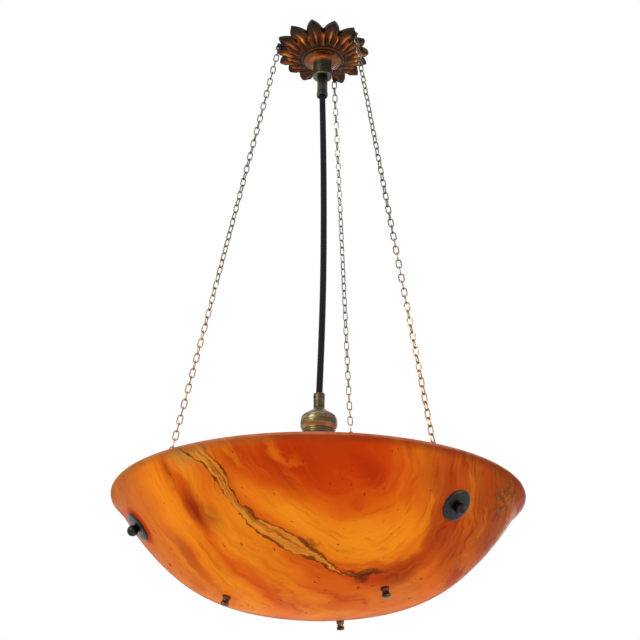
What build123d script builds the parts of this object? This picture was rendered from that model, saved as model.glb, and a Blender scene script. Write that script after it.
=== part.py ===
from build123d import *
import os
from math import asin, cos, degrees, pi, radians, sin, tan

# Alabaster bowl pendant: a turned stone bowl on three link chains under a cast leaf rose,
# with one lampholder hanging in the bowl on its own cord.
# Millimetres, +Z up. The origin is the middle of the rose on the ceiling, and +Y points away
# from the side that the pendant is seen from. Heights below the ceiling are negative.

# ---------------------------------------------------------------- driving dimensions
DROP = 560.0                # ceiling down to the widest circle of the bowl's lip
FIRST_AZIMUTH = 74.46       # direction of the rear chain, in degrees from +X
AZIMUTH_STEP = 120.0        # three chains, evenly spaced
CHAIN_NAMES = ("rear", "left", "right")
FIT = 0.05                  # radial clearance of a screwed or pressed fit
SEAT = 0.1                  # gap of a face that seats on a curved wall

# bowl: the outside is three arcs that run into each other, then the lip
RIM_R = 210.0
LIP_OVERHANG = 8.9          # the lip's reach beyond the neck under it
LIP_UNDER = 10.2            # height of the neck below the lip's widest circle
LIP_TOP = 4.2               # height of the lip's top above that circle
LIP_NOSE = 5.0              # how far the lip's top starts inside that circle
LIP_CHAMFER = 1.6           # how far the lip's underside ends inside that circle
LIP_DROOP = 3.6             # height of that place below the widest circle
LEDGE_IN = 2.2              # width of the flat top inside the crest, beyond the wall
LEDGE_SAG = 0.7             # the inner corner's middle point, out from the wall
LEDGE_DROP = 1.6            # and down from the lip's top
WALL = 10.0
BASE_ARC_R = 364.8
BASE_ARC_END = 14.08        # slope of the wall where the base arc ends, in degrees
KNUCKLE_ARC_R = 148.6
KNUCKLE_ARC_END = 41.36
FLANK_ARC_R = 274.9

# upper fixings: an eye bolt through the wall at each chain
UPPER_FIX_INSET = 29.5      # the bolts leave the wall this far inside the rim
UPPER_FIX_R = RIM_R - UPPER_FIX_INSET
BOLT_R = 2.0
BOLT_HOLE_R = 2.7
EYE_R = 3.6                 # centre line radius of the eye
EYE_WIRE_R = 0.95
EYE_STANDOFF = 8.6          # eye's centre inside the wall
EYE_ROOT = 0.3              # the bolt's shank runs this far into the eye's ring
BOLT_SPARE = 1.0            # the bolt ends this far beyond the ball's centre
HOLE_REACH = 6.0            # a drill passes the wall by this much on both sides
COLLAR_R = 4.2
SOFT_WASHER_T = 1.0
INNER_SOFT_WASHER_R = 6.5
OUTER_SOFT_WASHER_R = 13.0
DISC_R = 16.0
DISC_T = 2.6
DISC_EDGE_T = 1.0
DISC_FLAT = 0.82            # of the disc's radius, where its slope reaches full thickness
BALL_R = 5.5
BALL_SEAT_R = 3.4           # flat on the ball where it meets the disc
BALL_BORE_SPARE = 0.5       # the ball's bore goes this much deeper than the bolt

# lower fixings: a stud through the floor of the bowl with a spool-shaped knob
LOWER_FIX_R = 90.8
STUD_R = 1.75
STUD_HOLE_R = 2.3
KNOB_R = 4.25
KNOB_WAIST_R = 2.9
KNOB_LENGTH = 10.0
KNOB_FLANGE = 2.8
KNOB_ROUND = 0.3            # of the flange, taken by its rounded edges
STUD_IN_KNOB = 0.3          # the knob's bore goes this much deeper than the stud
STUD_SPARE = 1.5            # thread that shows beyond the nut
STUD_NUT_T = 3.0
STUD_NUT_R = 4.0            # across the corners, as a radius
STUD_WASHER_R = 5.5
STUD_WASHER_T = 0.8

# rose: one casting, hollow towards the ceiling
ROSE_BODY_R = 44.0           # outside of the hollow part, inside the leaf tips
ROSE_FLOOR_R = 22.0         # flat middle of the casting
ROSE_DEPTH = 15.4
ROSE_EDGE_DEPTH = 7.5       # depth of the casting where the leaf tips start
ROSE_WALL = 2.0
ROSE_SHOULDER = 0.28        # of the fall from floor to edge, reached half way out
ROSE_TUBE_GAP = 0.3         # round the tube
LEAF_COUNT = 15
LEAF_TURN = -8.0            # the leaves lie this far round from the lugs
LEAF_ROOT_R = 46.5          # bottom of the notch between two leaves
LEAF_T = 4.0
LEAF_HALF_WIDTH = 0.312     # of the leaf pitch, half way from the notch to the tip
LEAF_REACH = (61, 62, 56, 53, 54, 55, 60, 64, 66, 64, 62, 57, 55, 56, 58)
LEAF_GROOVE_R = 1.3         # radius of the groove between two leaves
GROOVE_START = 4.0          # beyond the flat middle of the casting
GROOVE_END = 6.0            # beyond the notch
LUG_R = 53.7                # radius of the lug eyes
LUG_Z = -7.9
LUG_EYE_R = 2.7
LUG_WIRE_R = 1.0
LUG_PAD_W = 6.5
LUG_PAD_ROOT = 6.0          # the pad starts this far inside the notches

# centre plate, cup and cord grip under the rose
PLATE_R = 22.0
PLATE_T = 3.0
PLATE_FLAT_R = 15.0
PLATE_EDGE = 0.4            # of the plate's thickness, square at its edge
CUP_R = 11.45
CUP_LENGTH = 21.3
CUP_CHAMFER = 0.8
GRIP_R = 6.15
GRIP_LENGTH = 26.8
GRIP_MOUTH_R = 6.6          # slightly wider foot of the tube
GRIP_MOUTH_LOW = 4.0        # length of that foot
GRIP_MOUTH_HIGH = 6.0       # height at which the tube has its own radius again
GRIP_FLARE = 1.1            # room round the cord at the mouth
GRIP_SPIGOT = 4.6           # length screwed up into the cup
TUBE_R = 5.0                # hollow threaded tube
TUBE_BORE_R = 4.0
TUBE_TOP = -5.4
TUBE_GAP = 0.3              # between the tube's end and the grip
NUT_T = 3.0
NUT_R = 8.0                 # across the corners, as a radius

# ceiling strap, raised in the middle so that the cores can turn above the tube
STRAP_LENGTH = 72.0
STRAP_WIDTH = 13.0
STRAP_T = 1.6
STRAP_RAISE = 6.4
STRAP_RAISED_LENGTH = 26.0
STRAP_BEND = 0.4            # of the thickness, by which each bend's inside is shifted
CEILING_HOLE_SPACING = 50.8
CEILING_HOLE_R = 2.25

# cord and its cores
CORD_R = 3.5
CORD_BORE_R = 3.8
CORE_R = 1.0
CORE_SPREAD = 2.1           # from the cord's centre to an outer core
PIVOT_Z = -60.0             # the cord swings about this point inside the grip
PIVOT_GAP = 0.05
BRAID_END = 0.8             # the braid ends this far below the tube's top
CORE_LIFT = 0.2             # of a core over the tube's edge
CORE_BEND = 0.4             # a core's inner bend radius in the rose
CORE_LEAD = 2.0             # straight run of a core before its way in the block
CORD_ROUTE = (
    (0.0, 0.0, PIVOT_Z),
    (1.6, 0.0, -120.0),
    (3.1, 0.0, -215.0),
    (3.3, 0.0, -300.0),
    (2.0, 0.0, -380.0),
    (0.0, 0.0, -440.4),
)
CORD_END_TRIM = 0.6         # the tube is swept this much too long and cut square

# terminal block in the rose
BLOCK_LENGTH = 20.0
BLOCK_WIDTH = 10.0
BLOCK_Y = 15.0
BLOCK_WAY = 6.0             # spacing of its three ways
TERMINAL_SCREW_R = 1.5
TERMINAL_SCREW_LENGTH = 2.2
CORE_END = 2.0              # a core stops this far inside the block's far side
BLOCK_OVER_CORE = 3.4       # from a core's centre to the top of the block
BLOCK_SEAT = 0.3            # between the block and the casting

# chain
LINK_WIRE_R = 0.7
LINK_WIDTH = 6.5
LINK_COUNT = 66
LINK_GAP = 0.1              # between the wires of two links
TOP_PIVOT_GAP = 0.3         # between the top link's wire and the lug eye
LOW_PIVOT_GAP = 0.6         # between the bottom link's wire and the bowl's eye
CHAIN_TWIST = {"rear": 90.0, "left": -90.0, "right": 90.0}

# lampholder
HOLDER_TOP = -440.4
HOLDER_GRIP_R = 6.15
HOLDER_GRIP_LENGTH = 17.5
HOLDER_MOUTH_IN = 0.6       # bevel of the grip's upper edge
HOLDER_MOUTH_DROP = 0.8
HOLDER_SPIGOT_IN = 1.15     # step in from the grip's outside to its spigot
HOLDER_SPIGOT = 4.0         # length of the spigot, down into the cap
HOLDER_CAP_DROP = 8.9       # height of the domed cap under the grip
HOLDER_CAP_WALL = 1.2
CAP_INSET = 0.9             # the cap's edge lies this far inside the shade ring's outside
CAP_COLLAR = 0.5            # ledge of the cap round the grip
CAP_WAIST_OUT = 2.6         # the hollow of the ogee, out from the grip
CAP_WAIST_DROP = 0.42       # and down, as a share of the cap's height
CAP_BROW_IN = 3.4           # its round, in from the cap's edge
CAP_BROW_RISE = 0.30        # and up, as a share of the cap's height
CAP_EDGE_IN = 0.6           # bevel of the cap's edge
CAP_EDGE_HIGH = 1.6
CAP_EDGE_T = 0.8
CAP_SPIGOT_REST = 0.8       # the cap's neck stops this far above the spigot's end
WAIST_IN = 0.4              # of the cap's wall, the hollow's inside moves in
WAIST_UNDER = 1.3           # and down
HOLDER_BODY_R = 17.5
HOLDER_BODY_WALL = 1.2
HOLDER_BODY_LENGTH = 44.0
BODY_GROOVE_STEP = 2.4      # spacing of the body's thread grooves
HOLDER_GROOVE_R = 0.35      # of the grooves in body and ring
SHADE_RING_R = 19.5
SHADE_RING_T = 13.4
SHADE_RING_GAP = 0.3
RING_EDGE = 0.9             # bevel of both edges
RING_GROOVES = (0.35, 0.75)  # heights of its two grooves, as shares of its own
SET_SCREW_R = 1.5
SET_SCREW_LENGTH = 3.0
SLOT_DEPTH = 0.6
SLOT_WIDTH = 0.6
SET_SCREW_BELOW = 4.6       # below the top of the lampholder's grip
SET_SCREW_AZIMUTH = 212.3
UPPER_SCREW_AZIMUTH = 90.0
UPPER_SCREW_Z = -50.0

# inside of the lampholder
INSERT_R = 15.6
INSERT_T = 12.0
INSERT_BELOW_CAP = 4.0      # top of the insert below the cap's lower edge
INSERT_CORE_HOLE = 6.0      # depth of the two holes for the cores
INSERT_SCREW_HOLE = 4.0
INSERT_SCREW_IN = 3.5       # length of a screw in its hole
INSERT_SCREW_OUT = 0.5      # and above it
INSERT_SCREW_Y = 6.0        # the screws stand beside the cores
LAMP_CORE_SPREAD = 1.3      # from the cord's centre to a core
LAMP_CORE_START = 1.0       # the cores leave the cord this far above the spigot's end
LAMP_CORE_STRAIGHT = 2.0    # and bend this far below it
LAMP_CORE_RISE = 2.4        # height of the second bend over the insert
LAMP_CORE_END = 5.0         # depth of a core's end in the insert
LAMP_CORE_BEND = 0.2        # a core's inner bend radius
SHELL_R = 13.5              # inside radius of the threaded metal shell
SHELL_WALL = 0.5
SHELL_LENGTH = 24.0
SHELL_RIB_R = 0.5           # ribs of the rolled thread
SHELL_RIB_COUNT = 5
SHELL_RIB_FIRST = 4.0       # below the insert
SHELL_RIB_STEP = 3.6
SHELL_RIM_GAP = 0.05        # between the ribs and the insulating rim
SHELL_RIM_LOW = 0.5         # above the body's lower edge
SHELL_RIM_T = 4.0
CONTACT_SIZE = (9.0, 4.0, 1.0)
CONTACT_GAP = 0.3           # between the contact and the bulb's tip

# bulb
BULB_CAP_R = 13.1
BULB_CAP_LENGTH = 25.0
BULB_CAP_WALL = 0.4
BULB_SHOULDER = 3.0         # bevel of the cap's upper edge
BULB_SHOULDER_IN = 3.2      # the same inside
BULB_CAP_T = 0.6            # thickness of the cap's end
BULB_TIP_R = 5.0
BULB_TIP_T = 2.0
BULB_TIP_EDGE = 1.0         # bevel of the tip
BULB_TIP_RIM = 1.5          # the insulator round the tip
BULB_TIP_DEEP = 2.2         # the insulator's depth in the cap
BULB_R = 30.0
BULB_LENGTH = 106.0         # tip to crown
BULB_NECK_R = 12.6
BULB_GLASS_T = 0.8
BULB_NECK_IN = 3.0          # length of the glass neck inside the cap
BULB_NECK_OUT = 1.5         # and below it
BULB_JOIN = 40.0            # angle over the belly's middle where the neck's curve starts
BULB_NECK_HOLLOW = 1.6      # how far that curve bends in
STEM_R = 4.0
STEM_LENGTH = 34.0
STEM_FLARE_T = 1.2          # thickness of the flare that is sealed to the neck
STEM_FLARE_OUT = 1.5        # the flare's root beyond the stem's radius
STEM_FLARE_END = 3.5        # depth of that root
STEM_NECK = 8.0             # depth at which the stem has its own radius
STEM_LEAD_AT = 0.6          # of the stem's length, where the lead wires start
STEM_MIDDLE = 0.5           # of the stem's radius, at the lead wires
STEM_TIP = 0.4              # of the stem's radius, at its end
FILAMENT_R = 9.0
FILAMENT_WIRE_R = 0.25
FILAMENT_BELOW = 4.0        # the ring hangs this far below the stem's end
CUT = 1.0                   # a cutting tool stands this far clear of what it cuts

# ---------------------------------------------------------------- helpers
os.makedirs("parts", exist_ok=True)


def save(node, solids):
    """Write one node: a single solid, or a group of separate ones."""
    group = solids if isinstance(solids, (list, tuple)) else [solids]
    loose = [solid for shape in group for solid in shape.solids()]
    export_step(loose[0] if len(loose) == 1 else Compound(children=loose), f"parts/{node}.step")


def turned(*points):
    """A solid turned about the pendant's axis from its outline of (radius, height) points."""
    outline = Polyline(*[(r, 0, z) for r, z in points], close=True)
    return revolve(make_face(outline), Axis.Z)


def rod(radius, low, high):
    """A round bar on the Z axis between two heights."""
    return Pos(0, 0, low) * extrude(Circle(radius), high - low)


def pipe(outer, inner, low, high):
    return rod(outer, low, high) - rod(inner, low - CUT, high + CUT)


def outward(azimuth):
    return Vector(cos(radians(azimuth)), sin(radians(azimuth)), 0)


def azimuth_of(name):
    return FIRST_AZIMUTH + AZIMUTH_STEP * CHAIN_NAMES.index(name)


def hexagon(radius, low, high):
    return Pos(0, 0, low) * extrude(RegularPolygon(radius, 6), high - low)


# ---------------------------------------------------------------- bowl profile
def next_centre(centre, old_radius, new_radius, slope):
    """Centre of the arc that runs on smoothly from another at this slope."""
    step = old_radius - new_radius
    return (centre[0] + step * sin(radians(slope)), centre[1] - step * cos(radians(slope)))


base_centre = (0.0, BASE_ARC_R)
knuckle_centre = next_centre(base_centre, BASE_ARC_R, KNUCKLE_ARC_R, BASE_ARC_END)
flank_centre = next_centre(knuckle_centre, KNUCKLE_ARC_R, FLANK_ARC_R, KNUCKLE_ARC_END)
neck_r = RIM_R - LIP_OVERHANG
FLANK_ARC_END = degrees(asin((neck_r - flank_centre[0]) / FLANK_ARC_R))
neck_height = flank_centre[1] - FLANK_ARC_R * cos(radians(FLANK_ARC_END))
BOTTOM_Z = -DROP - LIP_UNDER - neck_height
ARCS = (
    (base_centre, BASE_ARC_R, 0.0, BASE_ARC_END),
    (knuckle_centre, KNUCKLE_ARC_R, BASE_ARC_END, KNUCKLE_ARC_END),
    (flank_centre, FLANK_ARC_R, KNUCKLE_ARC_END, FLANK_ARC_END),
)


def arc_point(centre, radius, slope):
    height = BOTTOM_Z + centre[1] - radius * cos(radians(slope))
    return (centre[0] + radius * sin(radians(slope)), 0, height)


def wall_arc(arc, depth, downwards=False):
    """One arc of the bowl's wall, moved into the stone by a depth."""
    centre, radius, start, end = arc
    slopes = (start, (start + end) / 2, end)
    points = [arc_point(centre, radius - depth, slope) for slope in slopes]
    if downwards:
        points.reverse()
    return ThreePointArc(*points)


def wall_place(radius, azimuth):
    """Plane on the outside of the bowl's wall at this radius, its normal pointing out of the stone."""
    for centre, arc_r, start, end in ARCS:
        slope = degrees(asin(min(1.0, (radius - centre[0]) / arc_r)))
        if slope <= end:
            break
    x, _, z = arc_point(centre, arc_r, slope)
    side = outward(azimuth)
    normal = side * sin(radians(slope)) + Vector(0, 0, -cos(radians(slope)))
    tangent = Vector(-side.Y, side.X, 0)
    return Plane(origin=side * x + Vector(0, 0, z), x_dir=tangent, z_dir=normal)


def on_each(radius, solid):
    """The same solid at the three fixings of this radius."""
    return [wall_place(radius, azimuth_of(name)).location * solid for name in CHAIN_NAMES]


def make_bowl():
    outer = [wall_arc(arc, 0.0) for arc in ARCS]
    inner = [wall_arc(arc, WALL, True) for arc in reversed(ARCS)]
    neck = outer[-1] @ 1
    brim = inner[0] @ 0
    lip_z = -DROP
    under = (RIM_R - LIP_CHAMFER, 0, lip_z - LIP_DROOP)
    widest = (RIM_R, 0, lip_z)
    crest = (RIM_R - LIP_NOSE, 0, lip_z + LIP_TOP)
    ledge = (brim.X + LEDGE_IN, 0, lip_z + LIP_TOP)
    sag = (brim.X + LEDGE_SAG, 0, lip_z + LIP_TOP - LEDGE_DROP)
    lip = [
        Line(neck, under),
        ThreePointArc(under, widest, crest),
        Line(crest, ledge),
        ThreePointArc(ledge, sag, brim),
    ]
    axis = Line(inner[-1] @ 1, outer[0] @ 0)
    bowl = revolve(make_face(Wire([*outer, *lip, *inner, axis])), Axis.Z)
    reach = WALL + HOLE_REACH
    for hole in on_each(UPPER_FIX_R, rod(BOLT_HOLE_R, -reach, reach)):
        bowl -= hole
    for hole in on_each(LOWER_FIX_R, rod(STUD_HOLE_R, -reach, reach)):
        bowl -= hole
    return bowl


# ---------------------------------------------------------------- fixings of the bowl
inner_face = -WALL - SEAT
inner_washer_face = inner_face - SOFT_WASHER_T
eye_centre_depth = WALL + EYE_STANDOFF
disc_face = SEAT + SOFT_WASHER_T
ball_face = disc_face + DISC_T
ball_centre = ball_face + (BALL_R**2 - BALL_SEAT_R**2) ** 0.5
bolt_tip = ball_centre + BOLT_SPARE


def make_eye_bolt():
    eye = Torus(EYE_R, EYE_WIRE_R)
    eye = Pos(0, 0, -eye_centre_depth) * Rot(0, 90, 0) * eye
    shank = rod(BOLT_R, -eye_centre_depth + EYE_R - EYE_ROOT, bolt_tip)
    collar_low = -eye_centre_depth + EYE_R + EYE_WIRE_R / 2
    collar = rod(COLLAR_R, collar_low, inner_washer_face)
    return eye + shank + collar


def make_ball_nut():
    ball = Pos(0, 0, ball_centre) * Sphere(BALL_R)
    ball -= rod(BALL_R * 2, ball_face - BALL_R * 2, ball_face)
    return ball - rod(BOLT_R + FIT, ball_face - CUT, bolt_tip + BALL_BORE_SPARE)


def make_disc():
    bore = BOLT_R + FIT
    return turned(
        (bore, disc_face),
        (DISC_R, disc_face),
        (DISC_R, disc_face + DISC_EDGE_T),
        (DISC_R * DISC_FLAT, ball_face),
        (bore, ball_face),
    )


def make_stud():
    nut_top = inner_face - STUD_WASHER_T - STUD_NUT_T
    return rod(STUD_R, nut_top - STUD_SPARE, SEAT + KNOB_LENGTH - KNOB_FLANGE)


def make_knob():
    low = SEAT
    high = SEAT + KNOB_LENGTH
    round_over = KNOB_FLANGE * KNOB_ROUND
    knob = turned(
        (0, low),
        (KNOB_R, low),
        (KNOB_R, low + KNOB_FLANGE - round_over),
        (KNOB_WAIST_R, low + KNOB_FLANGE + round_over),
        (KNOB_WAIST_R, high - KNOB_FLANGE - round_over),
        (KNOB_R, high - KNOB_FLANGE + round_over),
        (KNOB_R, high - round_over),
        (KNOB_R - round_over, high),
        (0, high),
    )
    return knob - rod(STUD_R + FIT, low - CUT, high - KNOB_FLANGE + STUD_IN_KNOB)


def make_stud_nut():
    high = inner_face - STUD_WASHER_T
    nut = hexagon(STUD_NUT_R, high - STUD_NUT_T, high)
    return nut - rod(STUD_R + FIT, high - STUD_NUT_T - CUT, high + CUT)


save("alabaster_bowl", make_bowl())
save("eye_bolts", on_each(UPPER_FIX_R, make_eye_bolt()))
inner_washer = pipe(INNER_SOFT_WASHER_R, BOLT_R + FIT, inner_washer_face, inner_face)
save("inner_leather_washers", on_each(UPPER_FIX_R, inner_washer))
outer_washer = pipe(OUTER_SOFT_WASHER_R, BOLT_R + FIT, SEAT, disc_face)
save("outer_leather_washers", on_each(UPPER_FIX_R, outer_washer))
save("disc_washers", on_each(UPPER_FIX_R, make_disc()))
save("ball_nuts", on_each(UPPER_FIX_R, make_ball_nut()))
save("lower_studs", on_each(LOWER_FIX_R, make_stud()))
save("lower_knobs", on_each(LOWER_FIX_R, make_knob()))
stud_washer = pipe(STUD_WASHER_R, STUD_R + FIT, inner_face - STUD_WASHER_T, inner_face)
save("lower_stud_washers", on_each(LOWER_FIX_R, stud_washer))
save("lower_stud_nuts", on_each(LOWER_FIX_R, make_stud_nut()))

# ---------------------------------------------------------------- rose
leaf_pitch = 360.0 / LEAF_COUNT


def leaf_azimuth(index):
    return FIRST_AZIMUTH + LEAF_TURN + leaf_pitch * index


def flat_point(radius, azimuth):
    return outward(azimuth) * radius


def leaf_outline():
    """Plan of the whole ring of pointed leaves."""
    edges = []
    for index in range(LEAF_COUNT):
        middle = leaf_azimuth(index)
        reach = LEAF_REACH[index % len(LEAF_REACH)]
        tip = flat_point(reach, middle)
        for side in (-1, 1):
            notch = flat_point(LEAF_ROOT_R, middle + side * leaf_pitch / 2)
            swell_r = (LEAF_ROOT_R + reach) / 2
            swell = flat_point(swell_r, middle + side * leaf_pitch * LEAF_HALF_WIDTH)
            ends = (notch, swell, tip) if side < 0 else (tip, swell, notch)
            edges.append(ThreePointArc(*ends))
    return make_face(Wire(edges))


def rose_section(reach):
    """Half section of the hollow casting, with its leaf ring, in (radius, height) points."""
    body_in = ROSE_BODY_R - ROSE_WALL
    leaf_top = -ROSE_EDGE_DEPTH + LEAF_T
    shoulder_r = (ROSE_FLOOR_R + ROSE_BODY_R) / 2
    shoulder = -ROSE_DEPTH + (ROSE_DEPTH - ROSE_EDGE_DEPTH) * ROSE_SHOULDER
    bore = TUBE_R + ROSE_TUBE_GAP
    return (
        (bore, -ROSE_DEPTH),
        (ROSE_FLOOR_R, -ROSE_DEPTH),
        (shoulder_r, shoulder),
        (ROSE_BODY_R, -ROSE_EDGE_DEPTH),
        (reach, -ROSE_EDGE_DEPTH),
        (reach, leaf_top),
        (ROSE_BODY_R, leaf_top),
        (ROSE_BODY_R, 0),
        (body_in, 0),
        (body_in, -ROSE_EDGE_DEPTH + ROSE_WALL),
        (shoulder_r, shoulder + ROSE_WALL),
        (ROSE_FLOOR_R, -ROSE_DEPTH + ROSE_WALL),
        (bore, -ROSE_DEPTH + ROSE_WALL),
    )


def make_rose():
    reach = max(LEAF_REACH) + CUT
    rose = turned(*rose_section(reach))
    outline = Pos(0, 0, -ROSE_DEPTH - CUT) * extrude(leaf_outline(), ROSE_DEPTH + 2 * CUT)
    rose = rose & outline
    groove_in = Vector(ROSE_FLOOR_R + GROOVE_START, 0, -ROSE_DEPTH)
    groove_out = Vector(LEAF_ROOT_R + GROOVE_END, 0, -ROSE_EDGE_DEPTH)
    run = groove_out - groove_in
    groove = Plane(origin=groove_in, z_dir=run) * extrude(Circle(LEAF_GROOVE_R), run.length)
    for index in range(LEAF_COUNT):
        rose -= Rot(0, 0, leaf_azimuth(index) + leaf_pitch / 2) * groove
    for name in CHAIN_NAMES:
        pad_high = -ROSE_EDGE_DEPTH + LEAF_T
        pad_length = LUG_R - LEAF_ROOT_R + LUG_PAD_ROOT
        pad = Pos(LUG_R - pad_length / 2, 0, pad_high - LEAF_T / 2) * Box(pad_length, LUG_PAD_W, LEAF_T)
        pad += Pos(LUG_R, 0, pad_high - LEAF_T) * extrude(Circle(LUG_PAD_W / 2), LEAF_T)
        eye = Pos(LUG_R, 0, LUG_Z) * Rot(90, 0, 0) * Torus(LUG_EYE_R, LUG_WIRE_R)
        mouth = Pos(LUG_R, 0, LUG_Z) * Rot(90, 0, 0) * Cylinder(LUG_EYE_R, LUG_PAD_W + 2 * CUT)
        rose += Rot(0, 0, azimuth_of(name)) * (pad - mouth + eye)
    return rose


plate_low = -ROSE_DEPTH - PLATE_T
cup_low = plate_low - CUP_LENGTH
grip_low = cup_low - GRIP_LENGTH


def make_plate():
    return turned(
        (TUBE_R + FIT, -ROSE_DEPTH),
        (PLATE_R, -ROSE_DEPTH),
        (PLATE_R, -ROSE_DEPTH - PLATE_T * PLATE_EDGE),
        (PLATE_FLAT_R, plate_low),
        (TUBE_R + FIT, plate_low),
    )


def make_cup():
    cup = pipe(CUP_R, TUBE_R + FIT, cup_low, plate_low)
    return chamfer(cup.edges().group_by(Axis.Z)[0].sort_by(SortBy.RADIUS)[-1], CUP_CHAMFER)


def screw_hole(azimuth, height, radius, wall_r):
    """Radial hole through one side of a cord grip."""
    hole = Rot(0, 90, 0) * extrude(Circle(radius), wall_r + 2)
    return Pos(0, 0, height) * Rot(0, 0, azimuth) * hole


def set_screw(azimuth, height):
    """A headless screw that bears on the cord through the grip's wall."""
    start = CORD_R
    screw = Pos(start, 0, 0) * Rot(0, 90, 0) * extrude(Circle(SET_SCREW_R), SET_SCREW_LENGTH)
    slot = Pos(start + SET_SCREW_LENGTH, 0, 0) * Box(2 * SLOT_DEPTH, SLOT_WIDTH, SET_SCREW_R * 2 + CUT)
    return Pos(0, 0, height) * Rot(0, 0, azimuth) * (screw - slot)


mouth_bore_r = CORD_R + GRIP_FLARE


def make_upper_grip():
    """Tube that screws up into the cup. Its bore flares towards the mouth for the cord's swing."""
    grip = turned(
        (CORD_BORE_R, cup_low + GRIP_SPIGOT),
        (TUBE_R, cup_low + GRIP_SPIGOT),
        (TUBE_R, cup_low),
        (GRIP_R, cup_low),
        (GRIP_R, grip_low + GRIP_MOUTH_HIGH),
        (GRIP_MOUTH_R, grip_low + GRIP_MOUTH_LOW),
        (GRIP_MOUTH_R, grip_low),
        (mouth_bore_r, grip_low),
        (CORD_BORE_R, PIVOT_Z),
    )
    return grip - screw_hole(UPPER_SCREW_AZIMUTH, UPPER_SCREW_Z, SET_SCREW_R + FIT, GRIP_R)


strap_low = -STRAP_RAISE - STRAP_T
nut_low = strap_low - NUT_T
tube_low = cup_low + GRIP_SPIGOT + TUBE_GAP


def make_strap():
    """Flat ends on the ceiling, and a middle that stands off it."""
    half = STRAP_LENGTH / 2
    raised = STRAP_RAISED_LENGTH / 2
    slant = STRAP_RAISE
    section = Polyline(
        (-half, 0, 0),
        (-raised - slant, 0, 0),
        (-raised, 0, -STRAP_RAISE),
        (raised, 0, -STRAP_RAISE),
        (raised + slant, 0, 0),
        (half, 0, 0),
        (half, 0, -STRAP_T),
        (raised + slant - STRAP_T * STRAP_BEND, 0, -STRAP_T),
        (raised - STRAP_T * STRAP_BEND, 0, strap_low),
        (-raised + STRAP_T * STRAP_BEND, 0, strap_low),
        (-raised - slant + STRAP_T * STRAP_BEND, 0, -STRAP_T),
        (-half, 0, -STRAP_T),
        close=True,
    )
    strap = Pos(0, STRAP_WIDTH / 2, 0) * extrude(make_face(section), STRAP_WIDTH, dir=(0, -1, 0))
    strap -= rod(TUBE_R + FIT, strap_low - CUT, 0)
    for side in (-1, 1):
        strap -= Pos(side * CEILING_HOLE_SPACING / 2, 0, 0) * rod(CEILING_HOLE_R, -STRAP_T - CUT, CUT)
    return strap


core_height = TUBE_TOP + CORE_R + CORE_LIFT
block_low = -ROSE_DEPTH + ROSE_WALL + BLOCK_SEAT
block_high = core_height + BLOCK_OVER_CORE
way_xs = (-BLOCK_WAY, 0.0, BLOCK_WAY)


def make_terminal_block():
    block = Box(BLOCK_LENGTH, BLOCK_WIDTH, block_high - block_low)
    block = Pos(0, BLOCK_Y, (block_low + block_high) / 2) * block
    for x in way_xs:
        way = Rot(90, 0, 0) * Cylinder(CORE_R + FIT, BLOCK_WIDTH + 2 * CUT)
        block -= Pos(x, BLOCK_Y, core_height) * way
        block -= Pos(x, BLOCK_Y, 0) * rod(TERMINAL_SCREW_R + FIT, core_height, block_high + CUT)
    return block


def make_terminal_screws():
    low = core_height + CORE_R + FIT
    return [Pos(x, BLOCK_Y, 0) * rod(TERMINAL_SCREW_R, low, low + TERMINAL_SCREW_LENGTH) for x in way_xs]


def core_wire(points, bends):
    path = FilletPolyline(*points, radius=bends)
    return sweep(Plane(origin=path @ 0, z_dir=path % 0) * Circle(CORE_R), path=path)


cord_top = TUBE_TOP - BRAID_END


def make_upper_cores():
    """The three cores, from the end of the cord's braid over the tube's edge to the terminal block."""
    cores = []
    near_y = BLOCK_Y - BLOCK_WIDTH / 2 - CORE_LEAD
    far_y = BLOCK_Y + BLOCK_WIDTH / 2 - CORE_END
    for way, x in zip((-1, 0, 1), way_xs):
        spread = way * CORE_SPREAD
        start = (spread, 0, cord_top)
        turn = (spread, 0, core_height)
        if way == 0:
            points = (start, turn, (x, far_y, core_height))
        else:
            points = (start, turn, (x, near_y, core_height), (x, far_y, core_height))
        cores.append(core_wire(points, CORE_R + CORE_BEND))
    return cores


save("ceiling_rose", make_rose())
save("rose_centre_plate", make_plate())
save("rose_cup", make_cup())
save("upper_cord_grip", make_upper_grip())
save("upper_grip_screw", set_screw(UPPER_SCREW_AZIMUTH, UPPER_SCREW_Z))
save("ceiling_strap", make_strap())
save("threaded_tube", pipe(TUBE_R, TUBE_BORE_R, tube_low, TUBE_TOP))
lock_nut = hexagon(NUT_R, nut_low, strap_low) - rod(TUBE_R + FIT, nut_low - CUT, strap_low + CUT)
save("tube_lock_nut", lock_nut)
save("terminal_block", make_terminal_block())
save("terminal_screws", make_terminal_screws())
save("upper_cord_cores", make_upper_cores())
upper_cord = rod(CORD_R, PIVOT_Z + CORD_R + PIVOT_GAP, cord_top)
save("cord_in_rose", upper_cord)


# ---------------------------------------------------------------- chains
def link_shape(bar_spacing):
    """One link: a round wire bent to a slot shape, standing on end in the XZ plane."""
    bend_r = LINK_WIDTH / 2 - LINK_WIRE_R
    half = bar_spacing / 2 - bend_r
    section = Pos(bend_r, 0, half) * Circle(LINK_WIRE_R)
    top = revolve(section, Axis((0, 0, half), (0, -1, 0)), revolution_arc=180)
    bottom = Rot(180, 0, 0) * top
    side = rod(LINK_WIRE_R, -half, half)
    return top + bottom + Pos(bend_r, 0, 0) * side + Pos(-bend_r, 0, 0) * side


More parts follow.
